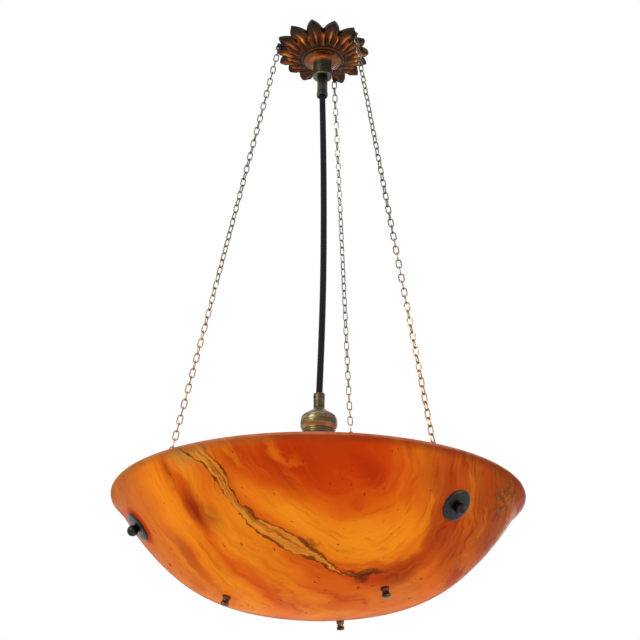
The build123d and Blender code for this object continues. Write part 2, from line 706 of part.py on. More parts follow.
def chain_ends(name):
    """Centres of the top link's upper bar and the bottom link's lower bar, and the way down."""
    side = outward(azimuth_of(name))
    lug = side * LUG_R + Vector(0, 0, LUG_Z)
    place = wall_place(UPPER_FIX_R, azimuth_of(name))
    eye = place.origin - place.z_dir * eye_centre_depth
    down = (eye - lug).normalized()
    top = lug + down * (LUG_EYE_R - LUG_WIRE_R - TOP_PIVOT_GAP - LINK_WIRE_R)
    low = eye - down * (EYE_R - EYE_WIRE_R - LOW_PIVOT_GAP - LINK_WIRE_R)
    return top, low, down


def make_links(name):
    top, low, down = chain_ends(name)
    length = (low - top).length
    bar_gap = 2 * LINK_WIRE_R + LINK_GAP
    pitch = (length - bar_gap) / LINK_COUNT
    link = link_shape(pitch + bar_gap)
    side = outward(azimuth_of(name))
    across = Vector(-side.Y, side.X, 0)
    turned_by = CHAIN_TWIST[name]
    links = []
    for index in range(LINK_COUNT):
        share = index / (LINK_COUNT - 1)
        eased = share * share * (3 - 2 * share)
        turn = 90.0 * (index % 2) + turned_by * eased
        centre = top + down * (bar_gap / 2 + pitch * (index + 0.5))
        x_dir = across * cos(radians(turn)) + down.cross(across) * sin(radians(turn))
        place = Plane(origin=centre, x_dir=x_dir, z_dir=down * -1)
        links.append(place.location * link)
    print(name, "chain: pitch", round(pitch, 3), "length", round(length, 2))
    print("   second link's upper bar", top + down * pitch)
    print("   last link's upper bar", low - down * (pitch + bar_gap))
    return links


for chain in CHAIN_NAMES:
    all_links = make_links(chain)
    save(f"chain_{chain}_top_link", all_links[0])
    if chain == "rear":
        save("chain_rear", all_links[1:-1])
        save("chain_rear_bottom_link", all_links[-1])
    else:
        save(f"chain_{chain}", all_links[1:])


# ---------------------------------------------------------------- cord
def corner_radii(points):
    """The largest arc that each corner's two runs allow."""
    vectors = [Vector(*point) for point in points]
    radii = []
    for before, corner, after in zip(vectors, vectors[1:], vectors[2:]):
        turn = radians((corner - before).get_angle(after - corner))
        shorter = min((corner - before).length, (after - corner).length)
        radii.append(0.45 * shorter / tan(turn / 2))
    return radii


def make_cord():
    last = Vector(*CORD_ROUTE[-1])
    run = (last - Vector(*CORD_ROUTE[-2])).normalized()
    route = [*CORD_ROUTE[:-1], tuple(last + run * CORD_END_TRIM)]
    radii = corner_radii(route)
    path = FilletPolyline(*route, radius=radii)
    cord = sweep(Plane(origin=path @ 0, z_dir=path % 0) * Circle(CORD_R), path=path)
    print("cord arcs", [round(r) for r in radii], "length", round(path.length - CORD_END_TRIM, 1))
    print("cord volume over section times length", round(cord.volume / (pi * CORD_R**2 * path.length), 5))
    cord -= rod(CORD_R * 3, HOLDER_TOP - 10, HOLDER_TOP)
    return cord + Pos(0, 0, PIVOT_Z) * Sphere(CORD_R)


save("pendant_cord", make_cord())

# ---------------------------------------------------------------- lampholder
holder_grip_low = HOLDER_TOP - HOLDER_GRIP_LENGTH
cap_low = holder_grip_low - HOLDER_CAP_DROP
body_low = cap_low - HOLDER_BODY_LENGTH
ring_high = cap_low - SHADE_RING_GAP
ring_low = ring_high - SHADE_RING_T
cap_r = SHADE_RING_R - CAP_INSET
spigot_r = HOLDER_GRIP_R - HOLDER_SPIGOT_IN
spigot_low = holder_grip_low - HOLDER_SPIGOT


def make_holder_grip():
    grip = turned(
        (CORD_BORE_R, HOLDER_TOP),
        (HOLDER_GRIP_R - HOLDER_MOUTH_IN, HOLDER_TOP),
        (HOLDER_GRIP_R, HOLDER_TOP - HOLDER_MOUTH_DROP),
        (HOLDER_GRIP_R, holder_grip_low),
        (spigot_r, holder_grip_low),
        (spigot_r, spigot_low),
        (CORD_BORE_R, spigot_low),
    )
    screw_z = HOLDER_TOP - SET_SCREW_BELOW
    return grip - screw_hole(SET_SCREW_AZIMUTH, screw_z, SET_SCREW_R + FIT, HOLDER_GRIP_R)


def make_holder_cap():
    """Ogee cap, drawn from sheet, that closes the lampholder's body."""
    bore = spigot_r + FIT
    t = HOLDER_CAP_WALL
    waist = (HOLDER_GRIP_R + CAP_WAIST_OUT, holder_grip_low - HOLDER_CAP_DROP * CAP_WAIST_DROP)
    brow = (cap_r - CAP_BROW_IN, cap_low + HOLDER_CAP_DROP * CAP_BROW_RISE)
    return turned(
        (bore, holder_grip_low),
        (HOLDER_GRIP_R + CAP_COLLAR, holder_grip_low),
        waist,
        brow,
        (cap_r - CAP_EDGE_IN, cap_low + CAP_EDGE_HIGH),
        (cap_r, cap_low + CAP_EDGE_T),
        (cap_r, cap_low),
        (HOLDER_BODY_R - HOLDER_BODY_WALL, cap_low),
        (brow[0] - t, brow[1] - t),
        (waist[0] - t * WAIST_IN, waist[1] - t * WAIST_UNDER),
        (bore, spigot_low + CAP_SPIGOT_REST),
    )


def make_body():
    body = pipe(HOLDER_BODY_R, HOLDER_BODY_R - HOLDER_BODY_WALL, body_low, cap_low)
    groove_count = int((ring_low - body_low) / BODY_GROOVE_STEP)
    for index in range(groove_count):
        height = ring_low - BODY_GROOVE_STEP * (index + 0.5)
        body -= Pos(0, 0, height) * Torus(HOLDER_BODY_R, HOLDER_GROOVE_R)
    return body


def make_shade_ring():
    bore = HOLDER_BODY_R + SHADE_RING_GAP
    ring = turned(
        (bore, ring_low),
        (SHADE_RING_R - RING_EDGE, ring_low),
        (SHADE_RING_R, ring_low + RING_EDGE),
        (SHADE_RING_R, ring_high - RING_EDGE),
        (SHADE_RING_R - RING_EDGE, ring_high),
        (bore, ring_high),
    )
    for share in RING_GROOVES:
        ring -= Pos(0, 0, ring_low + SHADE_RING_T * share) * Torus(SHADE_RING_R, HOLDER_GROOVE_R)
    return ring


insert_high = cap_low - INSERT_BELOW_CAP
insert_low = insert_high - INSERT_T
shell_low = insert_low - SHELL_LENGTH
contact_low = insert_low - CONTACT_SIZE[2]
bulb_tip_z = contact_low - CONTACT_GAP
bulb_cap_high = bulb_tip_z - BULB_TIP_T
bulb_cap_low = bulb_cap_high - BULB_CAP_LENGTH
bulb_low = bulb_tip_z - BULB_LENGTH
bulb_centre = bulb_low + BULB_R


def make_insert():
    """Ceramic body with a channel for each core and a recess under it for the shell's rim."""
    insert = rod(INSERT_R, insert_low, insert_high)
    for side in (-1, 1):
        core_hole = rod(CORE_R + FIT, insert_high - INSERT_CORE_HOLE, insert_high + CUT)
        screw_way = rod(TERMINAL_SCREW_R + FIT, insert_high - INSERT_SCREW_HOLE, insert_high + CUT)
        insert -= Pos(side * BLOCK_WAY, 0, 0) * core_hole
        insert -= Pos(side * BLOCK_WAY, INSERT_SCREW_Y, 0) * screw_way
    return insert


def make_shell():
    shell = pipe(SHELL_R + SHELL_WALL, SHELL_R, shell_low, insert_low)
    rib = Torus(SHELL_R + SHELL_WALL, SHELL_RIB_R)
    bore = rod(SHELL_R, shell_low - CUT, insert_low + CUT)
    for index in range(SHELL_RIB_COUNT):
        height = insert_low - SHELL_RIB_FIRST - SHELL_RIB_STEP * index
        shell += Pos(0, 0, height) * rib - bore
    return shell


def make_shell_rim():
    """Insulating ring that centres the shell in the body."""
    outer = HOLDER_BODY_R - HOLDER_BODY_WALL - FIT
    inner = SHELL_R + SHELL_WALL + SHELL_RIB_R + SHELL_RIM_GAP
    low = body_low + SHELL_RIM_LOW
    return pipe(outer, inner, low, low + SHELL_RIM_T)


def make_contact():
    return Pos(0, 0, insert_low - CONTACT_SIZE[2] / 2) * Box(*CONTACT_SIZE)


def make_lamp_cores():
    cores = []
    for side in (-1, 1):
        points = [
            (side * LAMP_CORE_SPREAD, 0, spigot_low + LAMP_CORE_START),
            (side * LAMP_CORE_SPREAD, 0, spigot_low - LAMP_CORE_STRAIGHT),
            (side * BLOCK_WAY, 0, insert_high + LAMP_CORE_RISE),
            (side * BLOCK_WAY, 0, insert_high - LAMP_CORE_END),
        ]
        cores.append(core_wire(points, CORE_R + LAMP_CORE_BEND))
    return cores


def make_lamp_screws():
    screw = rod(TERMINAL_SCREW_R, insert_high - INSERT_SCREW_IN, insert_high + INSERT_SCREW_OUT)
    return [Pos(side * BLOCK_WAY, INSERT_SCREW_Y, 0) * screw for side in (-1, 1)]


save("lampholder_cord_grip", make_holder_grip())
grip_screw = set_screw(SET_SCREW_AZIMUTH, HOLDER_TOP - SET_SCREW_BELOW)
save("lampholder_grip_screw", grip_screw)
save("lampholder_cap", make_holder_cap())
save("lampholder_body", make_body())
save("shade_ring", make_shade_ring())
save("lamp_insert", make_insert())
save("lamp_insert_screws", make_lamp_screws())
save("lamp_thread_shell", make_shell())
save("lamp_shell_rim", make_shell_rim())
save("lamp_centre_contact", make_contact())
save("cord_in_lampholder", rod(CORD_R, spigot_low + LAMP_CORE_START, HOLDER_TOP))
save("lamp_cord_cores", make_lamp_cores())


# ---------------------------------------------------------------- bulb
def glass_shape(inset):
    """Turned pear shape of the bulb, or of the space in it."""
    crown = BULB_R - inset
    neck = BULB_NECK_R - inset
    join = radians(BULB_JOIN)
    belly = (crown * cos(join), 0, bulb_centre + crown * sin(join))
    low = (0, 0, bulb_centre - crown)
    side = (crown, 0, bulb_centre)
    collar_z = bulb_cap_low - BULB_NECK_OUT
    top_z = bulb_cap_low + BULB_NECK_IN
    mid_r = (belly[0] + neck) / 2 - BULB_NECK_HOLLOW
    mid = (mid_r, 0, (belly[2] + collar_z) / 2 - BULB_NECK_HOLLOW)
    low_side = (crown * sin(radians(45)), 0, bulb_centre - crown * cos(radians(45)))
    edges = [
        ThreePointArc(low, low_side, side),
        ThreePointArc(side, (crown * cos(join / 2), 0, bulb_centre + crown * sin(join / 2)), belly),
        ThreePointArc(belly, mid, (neck, 0, collar_z)),
        Line((neck, 0, collar_z), (neck, 0, top_z)),
        Line((neck, 0, top_z), (0, 0, top_z)),
        Line((0, 0, top_z), low),
    ]
    return revolve(make_face(Wire(edges)), Axis.Z)


insulator_r = BULB_TIP_R + BULB_TIP_RIM


def make_bulb_cap():
    inner = BULB_CAP_R - BULB_CAP_WALL
    return turned(
        (insulator_r, bulb_cap_high),
        (BULB_CAP_R - BULB_SHOULDER, bulb_cap_high),
        (BULB_CAP_R, bulb_cap_high - BULB_SHOULDER),
        (BULB_CAP_R, bulb_cap_low),
        (inner, bulb_cap_low),
        (inner, bulb_cap_high - BULB_SHOULDER),
        (BULB_CAP_R - BULB_SHOULDER_IN, bulb_cap_high - BULB_CAP_T),
        (insulator_r, bulb_cap_high - BULB_CAP_T),
    )


def make_tip():
    return turned(
        (0, bulb_tip_z),
        (BULB_TIP_R - BULB_TIP_EDGE, bulb_tip_z),
        (BULB_TIP_R, bulb_tip_z - BULB_TIP_EDGE),
        (BULB_TIP_R, bulb_cap_high - BULB_CAP_T),
        (insulator_r - FIT, bulb_cap_high - BULB_CAP_T),
        (insulator_r - FIT, bulb_cap_high - BULB_TIP_DEEP),
        (0, bulb_cap_high - BULB_TIP_DEEP),
    )


stem_high = bulb_cap_low + BULB_NECK_IN - BULB_GLASS_T - FIT
lead_foot = stem_high - STEM_LENGTH * STEM_LEAD_AT


def make_stem():
    """Glass foot that is sealed to the bulb's neck and carries the lead wires."""
    flare_r = BULB_NECK_R - BULB_GLASS_T - FIT
    return turned(
        (0, stem_high),
        (flare_r, stem_high),
        (flare_r, stem_high - STEM_FLARE_T),
        (STEM_R + STEM_FLARE_OUT, stem_high - STEM_FLARE_END),
        (STEM_R, stem_high - STEM_NECK),
        (STEM_R * STEM_MIDDLE, lead_foot),
        (STEM_R * STEM_TIP, stem_high - STEM_LENGTH),
        (0, stem_high - STEM_LENGTH),
    )


def make_filament():
    """A ring of fine wire carried by two lead wires that stand in the stem."""
    height = bulb_cap_low - STEM_LENGTH - FILAMENT_BELOW
    ring = Pos(0, 0, height) * Torus(FILAMENT_R, FILAMENT_WIRE_R * 2)
    for side in (-1, 1):
        start = Vector(side * (STEM_R * STEM_MIDDLE + FILAMENT_WIRE_R + FIT), 0, lead_foot)
        end = Vector(side * FILAMENT_R, 0, height)
        run = end - start
        ring += Plane(origin=start, z_dir=run) * extrude(Circle(FILAMENT_WIRE_R), run.length)
    return ring


save("bulb_glass", glass_shape(0.0) - glass_shape(BULB_GLASS_T))
save("bulb_cap", make_bulb_cap())
save("bulb_contact_tip", make_tip())
save("bulb_stem", make_stem())
save("bulb_filament", make_filament())

print("bowl bottom", round(BOTTOM_Z, 3), "lampholder body", round(body_low, 2), "bulb", round(bulb_low, 2))
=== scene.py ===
# %% [markdown]
# # An alabaster bowl pendant
# A turned stone bowl hangs on three fine brass chains under a cast leaf rose. One lampholder
# hangs in the bowl on a braided cord. The exact solids come from the CAD frame, and this lesson
# dresses them: it makes the pieces that want a finer surface, and gives every piece its finish.

# %% Load the frame
import bmesh
import bpy
import numpy as np
from math import asin, atan2, cos, degrees, pi, radians, sin, sqrt
from mathutils import Matrix, Vector


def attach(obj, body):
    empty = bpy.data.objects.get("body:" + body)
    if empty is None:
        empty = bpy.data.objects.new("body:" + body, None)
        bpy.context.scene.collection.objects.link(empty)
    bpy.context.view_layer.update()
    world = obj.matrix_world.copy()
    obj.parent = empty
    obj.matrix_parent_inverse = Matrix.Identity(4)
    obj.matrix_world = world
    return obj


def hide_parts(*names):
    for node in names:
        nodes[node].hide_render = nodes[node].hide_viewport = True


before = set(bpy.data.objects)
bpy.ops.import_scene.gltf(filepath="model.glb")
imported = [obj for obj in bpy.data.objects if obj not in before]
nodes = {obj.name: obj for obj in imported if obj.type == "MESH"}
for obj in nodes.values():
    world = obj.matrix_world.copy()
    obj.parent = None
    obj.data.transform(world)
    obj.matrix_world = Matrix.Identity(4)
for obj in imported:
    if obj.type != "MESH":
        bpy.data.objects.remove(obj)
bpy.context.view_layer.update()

# %% [markdown]
# ## Camera
# The pendant is seen from a little below and in front, looking up into it. A long lens from about
# 1.6 m keeps the bowl's rim nearly straight. The camera also leans by half a degree, as a hand-held
# one does, which a turn about its own line of sight gives.

# %% Camera
MM = 0.001
CAMERA_PLACE = (0.0, -1.3086, -0.9482)
CAMERA_PITCH, CAMERA_ROLL = 24.4, 0.57
CAMERA_LENS, CAMERA_SENSOR = 74.46, 36.0


def add_object(name, data):
    """A new object at the origin, in the scene."""
    made = bpy.data.objects.new(name, data)
    bpy.context.scene.collection.objects.link(made)
    return made


camera = add_object("camera", bpy.data.cameras.new("camera"))
camera.data.lens = CAMERA_LENS
camera.data.sensor_width = CAMERA_SENSOR
camera.matrix_world = (
    Matrix.Translation(CAMERA_PLACE)
    @ Matrix.Rotation(radians(90 + CAMERA_PITCH), 4, "X")
    @ Matrix.Rotation(radians(CAMERA_ROLL), 4, "Z")
)
bpy.context.scene.camera = camera
print("camera looks up by", CAMERA_PITCH, "degrees")

# %% [markdown]
# ## Cord
# The lampholder hangs on a braided flex of 7 mm. A free cord is a fixed length of something
# flexible, so its line is one smooth NURBS spline that a few control points guide. The tube that
# is seen follows that line in rings, and its own UV map runs round and along it, so that the braid
# follows every bend.

# %% Cord's line
CORD_STEPS = 24
CORD_ROUTE = (
    (0.0, 0.0, -60.0),
    (1.6, 0.0, -120.0),
    (3.1, 0.0, -215.0),
    (3.3, 0.0, -300.0),
    (2.0, 0.0, -380.0),
    (0.0, 0.0, -440.4),
)


def spline_points(route):
    """Points along the smooth NURBS line of a route given in millimetres."""
    curve = bpy.data.curves.new("cord_line", "CURVE")
    curve.dimensions = "3D"
    curve.resolution_u = CORD_STEPS
    spline = curve.splines.new("NURBS")
    spline.points.add(len(route) - 1)
    for point, place in zip(spline.points, route):
        point.co = (*[value * MM for value in place], 1.0)
    spline.order_u = 3
    spline.use_endpoint_u = True
    holder = bpy.data.objects.new("cord_line", curve)
    line = bpy.data.meshes.new_from_object(holder)
    points = [vertex.co.copy() for vertex in line.vertices]
    bpy.data.objects.remove(holder)
    return points


cord_line = spline_points(CORD_ROUTE)
cord_length = sum((b - a).length for a, b in zip(cord_line, cord_line[1:]))
print("cord length", round(cord_length / MM, 1), "mm")

# %% Cord's tube
CORD_R = 3.5 * MM
CORD_SIDES = 32
SHARP_EDGE = 32.0


def finish_mesh(mesh, sharp=SHARP_EDGE):
    """Merge doubles, turn the faces outwards, and shade smooth except over sharp edges."""
    work = bmesh.new()
    work.from_mesh(mesh)
    bmesh.ops.remove_doubles(work, verts=work.verts, dist=1e-7)
    bmesh.ops.recalc_face_normals(work, faces=work.faces)
    work.to_mesh(mesh)
    work.free()
    mesh.shade_smooth()
    mesh.set_sharp_from_angle(angle=radians(sharp))


def add_braid_map(mesh, along):
    """A UV map with u once round the tube and v in metres along it."""
    uv = mesh.uv_layers.new(name="UVMap")
    for face in mesh.polygons:
        for loop in face.loop_indices:
            ring, step = divmod(mesh.loops[loop].vertex_index, CORD_SIDES)
            last_side = face.index % CORD_SIDES == CORD_SIDES - 1 and len(face.vertices) == 4
            wraps = last_side and step == 0
            uv.data[loop].uv = (1.0 if wraps else step / CORD_SIDES, along[ring])


def cord_tube(name, points):
    """A closed tube of the cord's size through the points."""
    verts, faces, along = [], [], [0.0]
    for before, after in zip(points, points[1:]):
        along.append(along[-1] + (after - before).length)
    side = Vector((0, 1, 0))
    for index, point in enumerate(points):
        nearby = points[max(index - 1, 0)], points[min(index + 1, len(points) - 1)]
        forward = (nearby[1] - nearby[0]).normalized()
        up = forward.cross(side).normalized()
        for step in range(CORD_SIDES):
            turn = 2 * pi * step / CORD_SIDES
            verts.append(point + (side * cos(turn) + up * sin(turn)) * CORD_R)
    for ring in range(len(points) - 1):
        for step in range(CORD_SIDES):
            a = ring * CORD_SIDES + step
            b = ring * CORD_SIDES + (step + 1) % CORD_SIDES
            faces.append((a, b, b + CORD_SIDES, a + CORD_SIDES))
    last = (len(points) - 1) * CORD_SIDES
    faces += [tuple(range(CORD_SIDES)), tuple(reversed(range(last, last + CORD_SIDES)))]
    mesh = bpy.data.meshes.new(name)
    mesh.from_pydata(verts, [], faces)
    add_braid_map(mesh, along)
    finish_mesh(mesh)
    return add_object(name, mesh)

# %% Cord's pieces
ROSE_CORD_HEIGHTS = (-56.45, -40, -25, -6.2)
HOLDER_CORD_HEIGHTS = (-460.9, -450, -440.4)


def straight_cord(name, heights):
    return cord_tube(name, [Vector((0, 0, height * MM)) for height in heights])


pendant_cord = cord_tube("braided_cord", cord_line)
rose_cord = straight_cord("cord_inside_rose", ROSE_CORD_HEIGHTS)
holder_cord = straight_cord("cord_inside_lampholder", HOLDER_CORD_HEIGHTS)
print("cord faces", [len(piece.data.polygons) for piece in (pendant_cord, rose_cord, holder_cord)])

# %% [markdown]
# ## Small tools for node trees
# Shader trees and geometry trees are built in the same way: add a node, give each input a value
# or the output of another node. One short function does both, and a few more wrap the nodes
# that come back again and again.

# %% Node tools
def add_node(tree, kind, inputs=None, **settings):
    """Add a node. Inputs are given by name or number, each a plain value or a socket."""
    made = tree.nodes.new(kind)
    for key, value in settings.items():
        setattr(made, key, value)
    for key, value in (inputs or {}).items():
        socket = made.inputs[key]
        if isinstance(value, bpy.types.NodeSocket):
            tree.links.new(value, socket)
        else:
            socket.default_value = value
    return made


def maths(tree, operation, *values, clamp=False):
    inputs = dict(enumerate(values))
    made = add_node(tree, "ShaderNodeMath", inputs, operation=operation, use_clamp=clamp)
    return made.outputs[0]


def times(tree, product, *others):
    """All the values multiplied."""
    for other in others:
        product = maths(tree, "MULTIPLY", product, other)
    return product


def vectors(tree, operation, *values):
    made = add_node(tree, "ShaderNodeVectorMath", dict(enumerate(values)), operation=operation)
    return made.outputs["Value" if operation in ("LENGTH", "DOT_PRODUCT") else "Vector"]


def axes(tree, vector):
    """The parts of a vector, by the names X, Y and Z."""
    return add_node(tree, "ShaderNodeSeparateXYZ", {0: vector}).outputs


def vector_of(tree, x=0.0, y=0.0, z=0.0):
    return add_node(tree, "ShaderNodeCombineXYZ", {0: x, 1: y, 2: z}).outputs[0]


def ease(tree, value, low, high, start=0.0, end=1.0):
    """A smooth step from start to end as the value goes from low to high."""
    inputs = {0: value, 1: low, 2: high, 3: start, 4: end}
    made = add_node(tree, "ShaderNodeMapRange", inputs, interpolation_type="SMOOTHSTEP")
    return made.outputs[0]

# %% Colour tools
def blend(tree, factor, first, second, mode="MIX"):
    """Mix two colours."""
    inputs = {0: factor, 6: first, 7: second}
    made = add_node(tree, "ShaderNodeMix", inputs, data_type="RGBA", blend_type=mode)
    return made.outputs[2]


def noise(tree, place, scale, detail=3.0, rough=0.5, warp=0.0):
    inputs = {"Vector": place, "Scale": scale, "Detail": detail}
    inputs.update({"Roughness": rough, "Distortion": warp})
    return add_node(tree, "ShaderNodeTexNoise", inputs)


def ramp(tree, value, stops):
    """Colour ramp through (position, colour) stops."""
    made = add_node(tree, "ShaderNodeValToRGB", {0: value})
    band = made.color_ramp
    for index, (position, colour) in enumerate(stops):
        stop = band.elements[index] if index < 2 else band.elements.new(position)
        stop.position = position
        stop.color = colour
    return made.outputs[0]


def mapped(tree, place, scale):
    """The place with each of its axes scaled."""
    return add_node(tree, "ShaderNodeMapping", {"Vector": place, "Scale": scale}).outputs[0]


def colour_of(red, green, blue):
    """A colour named as on screen, 0 to 255, in the linear values that shaders use, with alpha."""
    linear = [
        value / 255 / 12.92 if value <= 10 else ((value / 255 + 0.055) / 1.055) ** 2.4
        for value in (red, green, blue)
    ]
    return (*linear, 1.0)


print("half grey on screen is", round(colour_of(128, 128, 128)[0], 3), "in linear light")

# %% Group and material tools
FLOAT, COLOUR, VECTOR = "NodeSocketFloat", "NodeSocketColor", "NodeSocketVector"
GEOMETRY, WHOLE, FINISH = "NodeSocketGeometry", "NodeSocketInt", "NodeSocketMaterial"
NO_LIGHT = (0, 0, 0, 1)


def new_group(name, sockets_in, sockets_out, kind="ShaderNodeTree"):
    """An empty node group with named inputs (name, type, default) and outputs (name, type)."""
    tree = bpy.data.node_groups.new(name, kind)
    for label, socket_type, default in sockets_in:
        socket = tree.interface.new_socket(label, in_out="INPUT", socket_type=socket_type)
        if default is not None:
            socket.default_value = default
    for label, socket_type in sockets_out:
        tree.interface.new_socket(label, in_out="OUTPUT", socket_type=socket_type)
    return tree, tree.nodes.new("NodeGroupInput"), tree.nodes.new("NodeGroupOutput")


def new_material(name):
    """A material with a Principled shader: returns the material, its tree and the shader."""
    material = bpy.data.materials.new(name)
    material.use_nodes = True
    tree = material.node_tree
    return material, tree, tree.nodes["Principled BSDF"]


def object_place(tree):
    return add_node(tree, "ShaderNodeTexCoord").outputs["Object"]


def from_axis(tree, place):
    """Distance from the upright middle line."""
    return vectors(tree, "LENGTH", vectors(tree, "MULTIPLY", place, (1, 1, 0)))


def turned_away(tree):
    """0 where a face looks at the viewer, 1 where it is seen edge on."""
    return add_node(tree, "ShaderNodeLayerWeight", {"Blend": 0.5}).outputs["Facing"]


def bump(tree, shader, height, strength, distance):
    inputs = {"Strength": strength, "Distance": distance, "Height": height}
    made = add_node(tree, "ShaderNodeBump", inputs)
    tree.links.new(made.outputs[0], shader.inputs["Normal"])


def use(tree, group, **inputs):
    """Place a node group. Its inputs are given by name, with _ for a space."""
    made = add_node(tree, "ShaderNodeGroup", node_tree=group)
    for key, value in inputs.items():
        socket = made.inputs[key.replace("_", " ")]
        if isinstance(value, bpy.types.NodeSocket):
            tree.links.new(value, socket)
        else:
            socket.default_value = value
    return made

# %% [markdown]
# ## Patina
# Old brass is never one colour: it is brown where dirt and lacquer have gathered and brighter
# where hands and cloths have rubbed it. Several finishes share that, so it is one node group:
# soft clouds for the patina, fine grains for pitting, and a height for the bump.

# %% Patina group
GRAIN_FINENESS, GRAIN_SHARE = 9.0, 0.35


def patina_group():
    tree, given, out = new_group(
        "Patina",
        [
            ("Place", VECTOR, None),
            ("Dark", COLOUR, (0.05, 0.04, 0.03, 1)),
            ("Middle", COLOUR, (0.2, 0.15, 0.08, 1)),
            ("Bright", COLOUR, (0.5, 0.38, 0.18, 1)),
            ("Cloud Scale", FLOAT, 60.0),
            ("Wear", FLOAT, 0.5),
        ],
        [("Colour", COLOUR), ("Roughness", FLOAT), ("Height", FLOAT)],
    )
    place = given.outputs["Place"]
    clouds = noise(tree, place, given.outputs["Cloud Scale"], 4.0, 0.6, 0.4).outputs[0]
    fine_scale = times(tree, given.outputs["Cloud Scale"], GRAIN_FINENESS)
    grain = noise(tree, place, fine_scale, 3.0, 0.65).outputs[0]
    mixed = maths(tree, "MULTIPLY_ADD", grain, GRAIN_SHARE, times(tree, clouds, 1 - GRAIN_SHARE))
    worn = maths(tree, "ADD", mixed, maths(tree, "MULTIPLY_ADD", given.outputs["Wear"], 0.3, -0.15))
    low = ease(tree, worn, 0.38, 0.54)
    high = ease(tree, worn, 0.53, 0.68)
    colour = blend(tree, low, given.outputs["Dark"], given.outputs["Middle"])
    colour = blend(tree, high, colour, given.outputs["Bright"])
    rough = ease(tree, worn, 0.35, 0.68, 0.44, 0.22)
    tree.links.new(colour, out.inputs["Colour"])
    tree.links.new(rough, out.inputs["Roughness"])
    tree.links.new(maths(tree, "MULTIPLY_ADD", grain, 0.6, clouds), out.inputs["Height"])
    return tree


PATINA = patina_group()
print("patina group:", len(PATINA.nodes), "nodes")

# %% Brass
COAT_ROUGHNESS = 0.16


def wear_metal(
    tree, shader, skin, shade, share=0.85, coat=0.4, metallic=0.9, depth=0.0002, strength=0.3
):
    """Link a patina to the shader. Sides that turn away from the viewer go to the shade colour,
    as polished metal does in a room with dark walls."""
    edge_on = ease(tree, turned_away(tree), 0.35, 0.9, 0.0, share)
    colour = blend(tree, edge_on, skin.outputs["Colour"], shade)
    tree.links.new(colour, shader.inputs["Base Color"])
    tree.links.new(skin.outputs["Roughness"], shader.inputs["Roughness"])
    shader.inputs["Metallic"].default_value = metallic
    shader.inputs["Coat Weight"].default_value = coat
    shader.inputs["Coat Roughness"].default_value = COAT_ROUGHNESS
    bump(tree, shader, skin.outputs["Height"], strength, depth)


def brass(name, dark, middle, bright, cloud_scale=60.0, wear=0.5, coat=0.4, metallic=0.9):
    """An aged brass with the patina group."""
    material, tree, shader = new_material(name)
    skin = use(
        tree, PATINA, Place=object_place(tree), Dark=dark, Middle=middle, Bright=bright,
        Cloud_Scale=cloud_scale, Wear=wear,
    )
    wear_metal(tree, shader, skin, dark, coat=coat, metallic=metallic)
    return material


antique_brass = brass(
    "Antique brass", colour_of(34, 32, 24), colour_of(84, 80, 60), colour_of(150, 142, 96), 36.0, 0.45
)
dark_brass = brass(
    "Dark brass", colour_of(24, 20, 16), colour_of(60, 50, 36), colour_of(118, 100, 62), 60.0, 0.4
)
black_bronze = brass(
    "Black bronze", colour_of(12, 10, 9), colour_of(26, 22, 18), colour_of(52, 46, 38), 150.0, 0.4,
    coat=0.04, metallic=0.55,
)
spool_brass = brass(
    "Spool brass", colour_of(34, 18, 10), colour_of(88, 54, 26), colour_of(176, 134, 62), 240.0, 0.5
)
contact_brass = brass(
    "Contact brass", colour_of(150, 120, 66), colour_of(200, 170, 104), colour_of(232, 208, 140), 120.0
)
eye_brass = brass(
    "Eye bolt brass", colour_of(70, 54, 32), colour_of(146, 118, 66), colour_of(206, 180, 112), 160.0
)
print("brass finishes:", len(bpy.data.materials))

# %% [markdown]
# ## Alabaster
# Alabaster is a soft banded stone that lets light through. With a lamp behind it the stone glows:
# honey where the wall is clear, deep red where iron stains it, and brown along the healed cracks.
# The layers of this block are folded, like the layers of a bent pack of paper, so that the bowl
# cuts them in nested U shapes. The material finds how deep each place lies in that fold and takes
# its colour from there. A few named clouds, the main vein and some specks are put in one by one.

# %% Stone tools
def warped(tree, place, scale, amount):
    """The place, pushed about by noise of this scale (per metre) and amount (metres)."""
    push = noise(tree, place, scale, 3.0, 0.55).outputs["Color"]
    centred = vectors(tree, "SUBTRACT", push, (0.5, 0.5, 0.5))
    return vectors(tree, "MULTIPLY_ADD", centred, (amount,) * 3, place)


def near(tree, place, centre, inner, outer):
    """Mask of a ball round a point in millimetres: 1 inside the inner radius, 0 beyond the outer."""
    away = vectors(tree, "SUBTRACT", place, tuple(value * MM for value in centre))
    return ease(tree, vectors(tree, "LENGTH", away), inner * MM, outer * MM, 1.0, 0.0)


def cloud_group():
    """A soft patch: 1 at its centre, 0 beyond its reach."""
    tree, given, out = new_group(
        "Stone cloud",
        [("Place", VECTOR, None), ("Centre", VECTOR, (0, 0, 0)), ("Reach", VECTOR, (1, 1, 1))],
        [("Mask", FLOAT)],
    )
    away = vectors(tree, "SUBTRACT", given.outputs["Place"], given.outputs["Centre"])
    away = vectors(tree, "DIVIDE", away, given.outputs["Reach"])
    mask = ease(tree, vectors(tree, "LENGTH", away), 0.1, 1.0, 1.0, 0.0)
    tree.links.new(mask, out.inputs["Mask"])
    return tree


FOLD_MIDDLE = (6.3, 0.0, -560.0)
FOLD_TILT = radians(28.7)
FOLD_WIDTH, FOLD_DROP = 123.0, 86.0


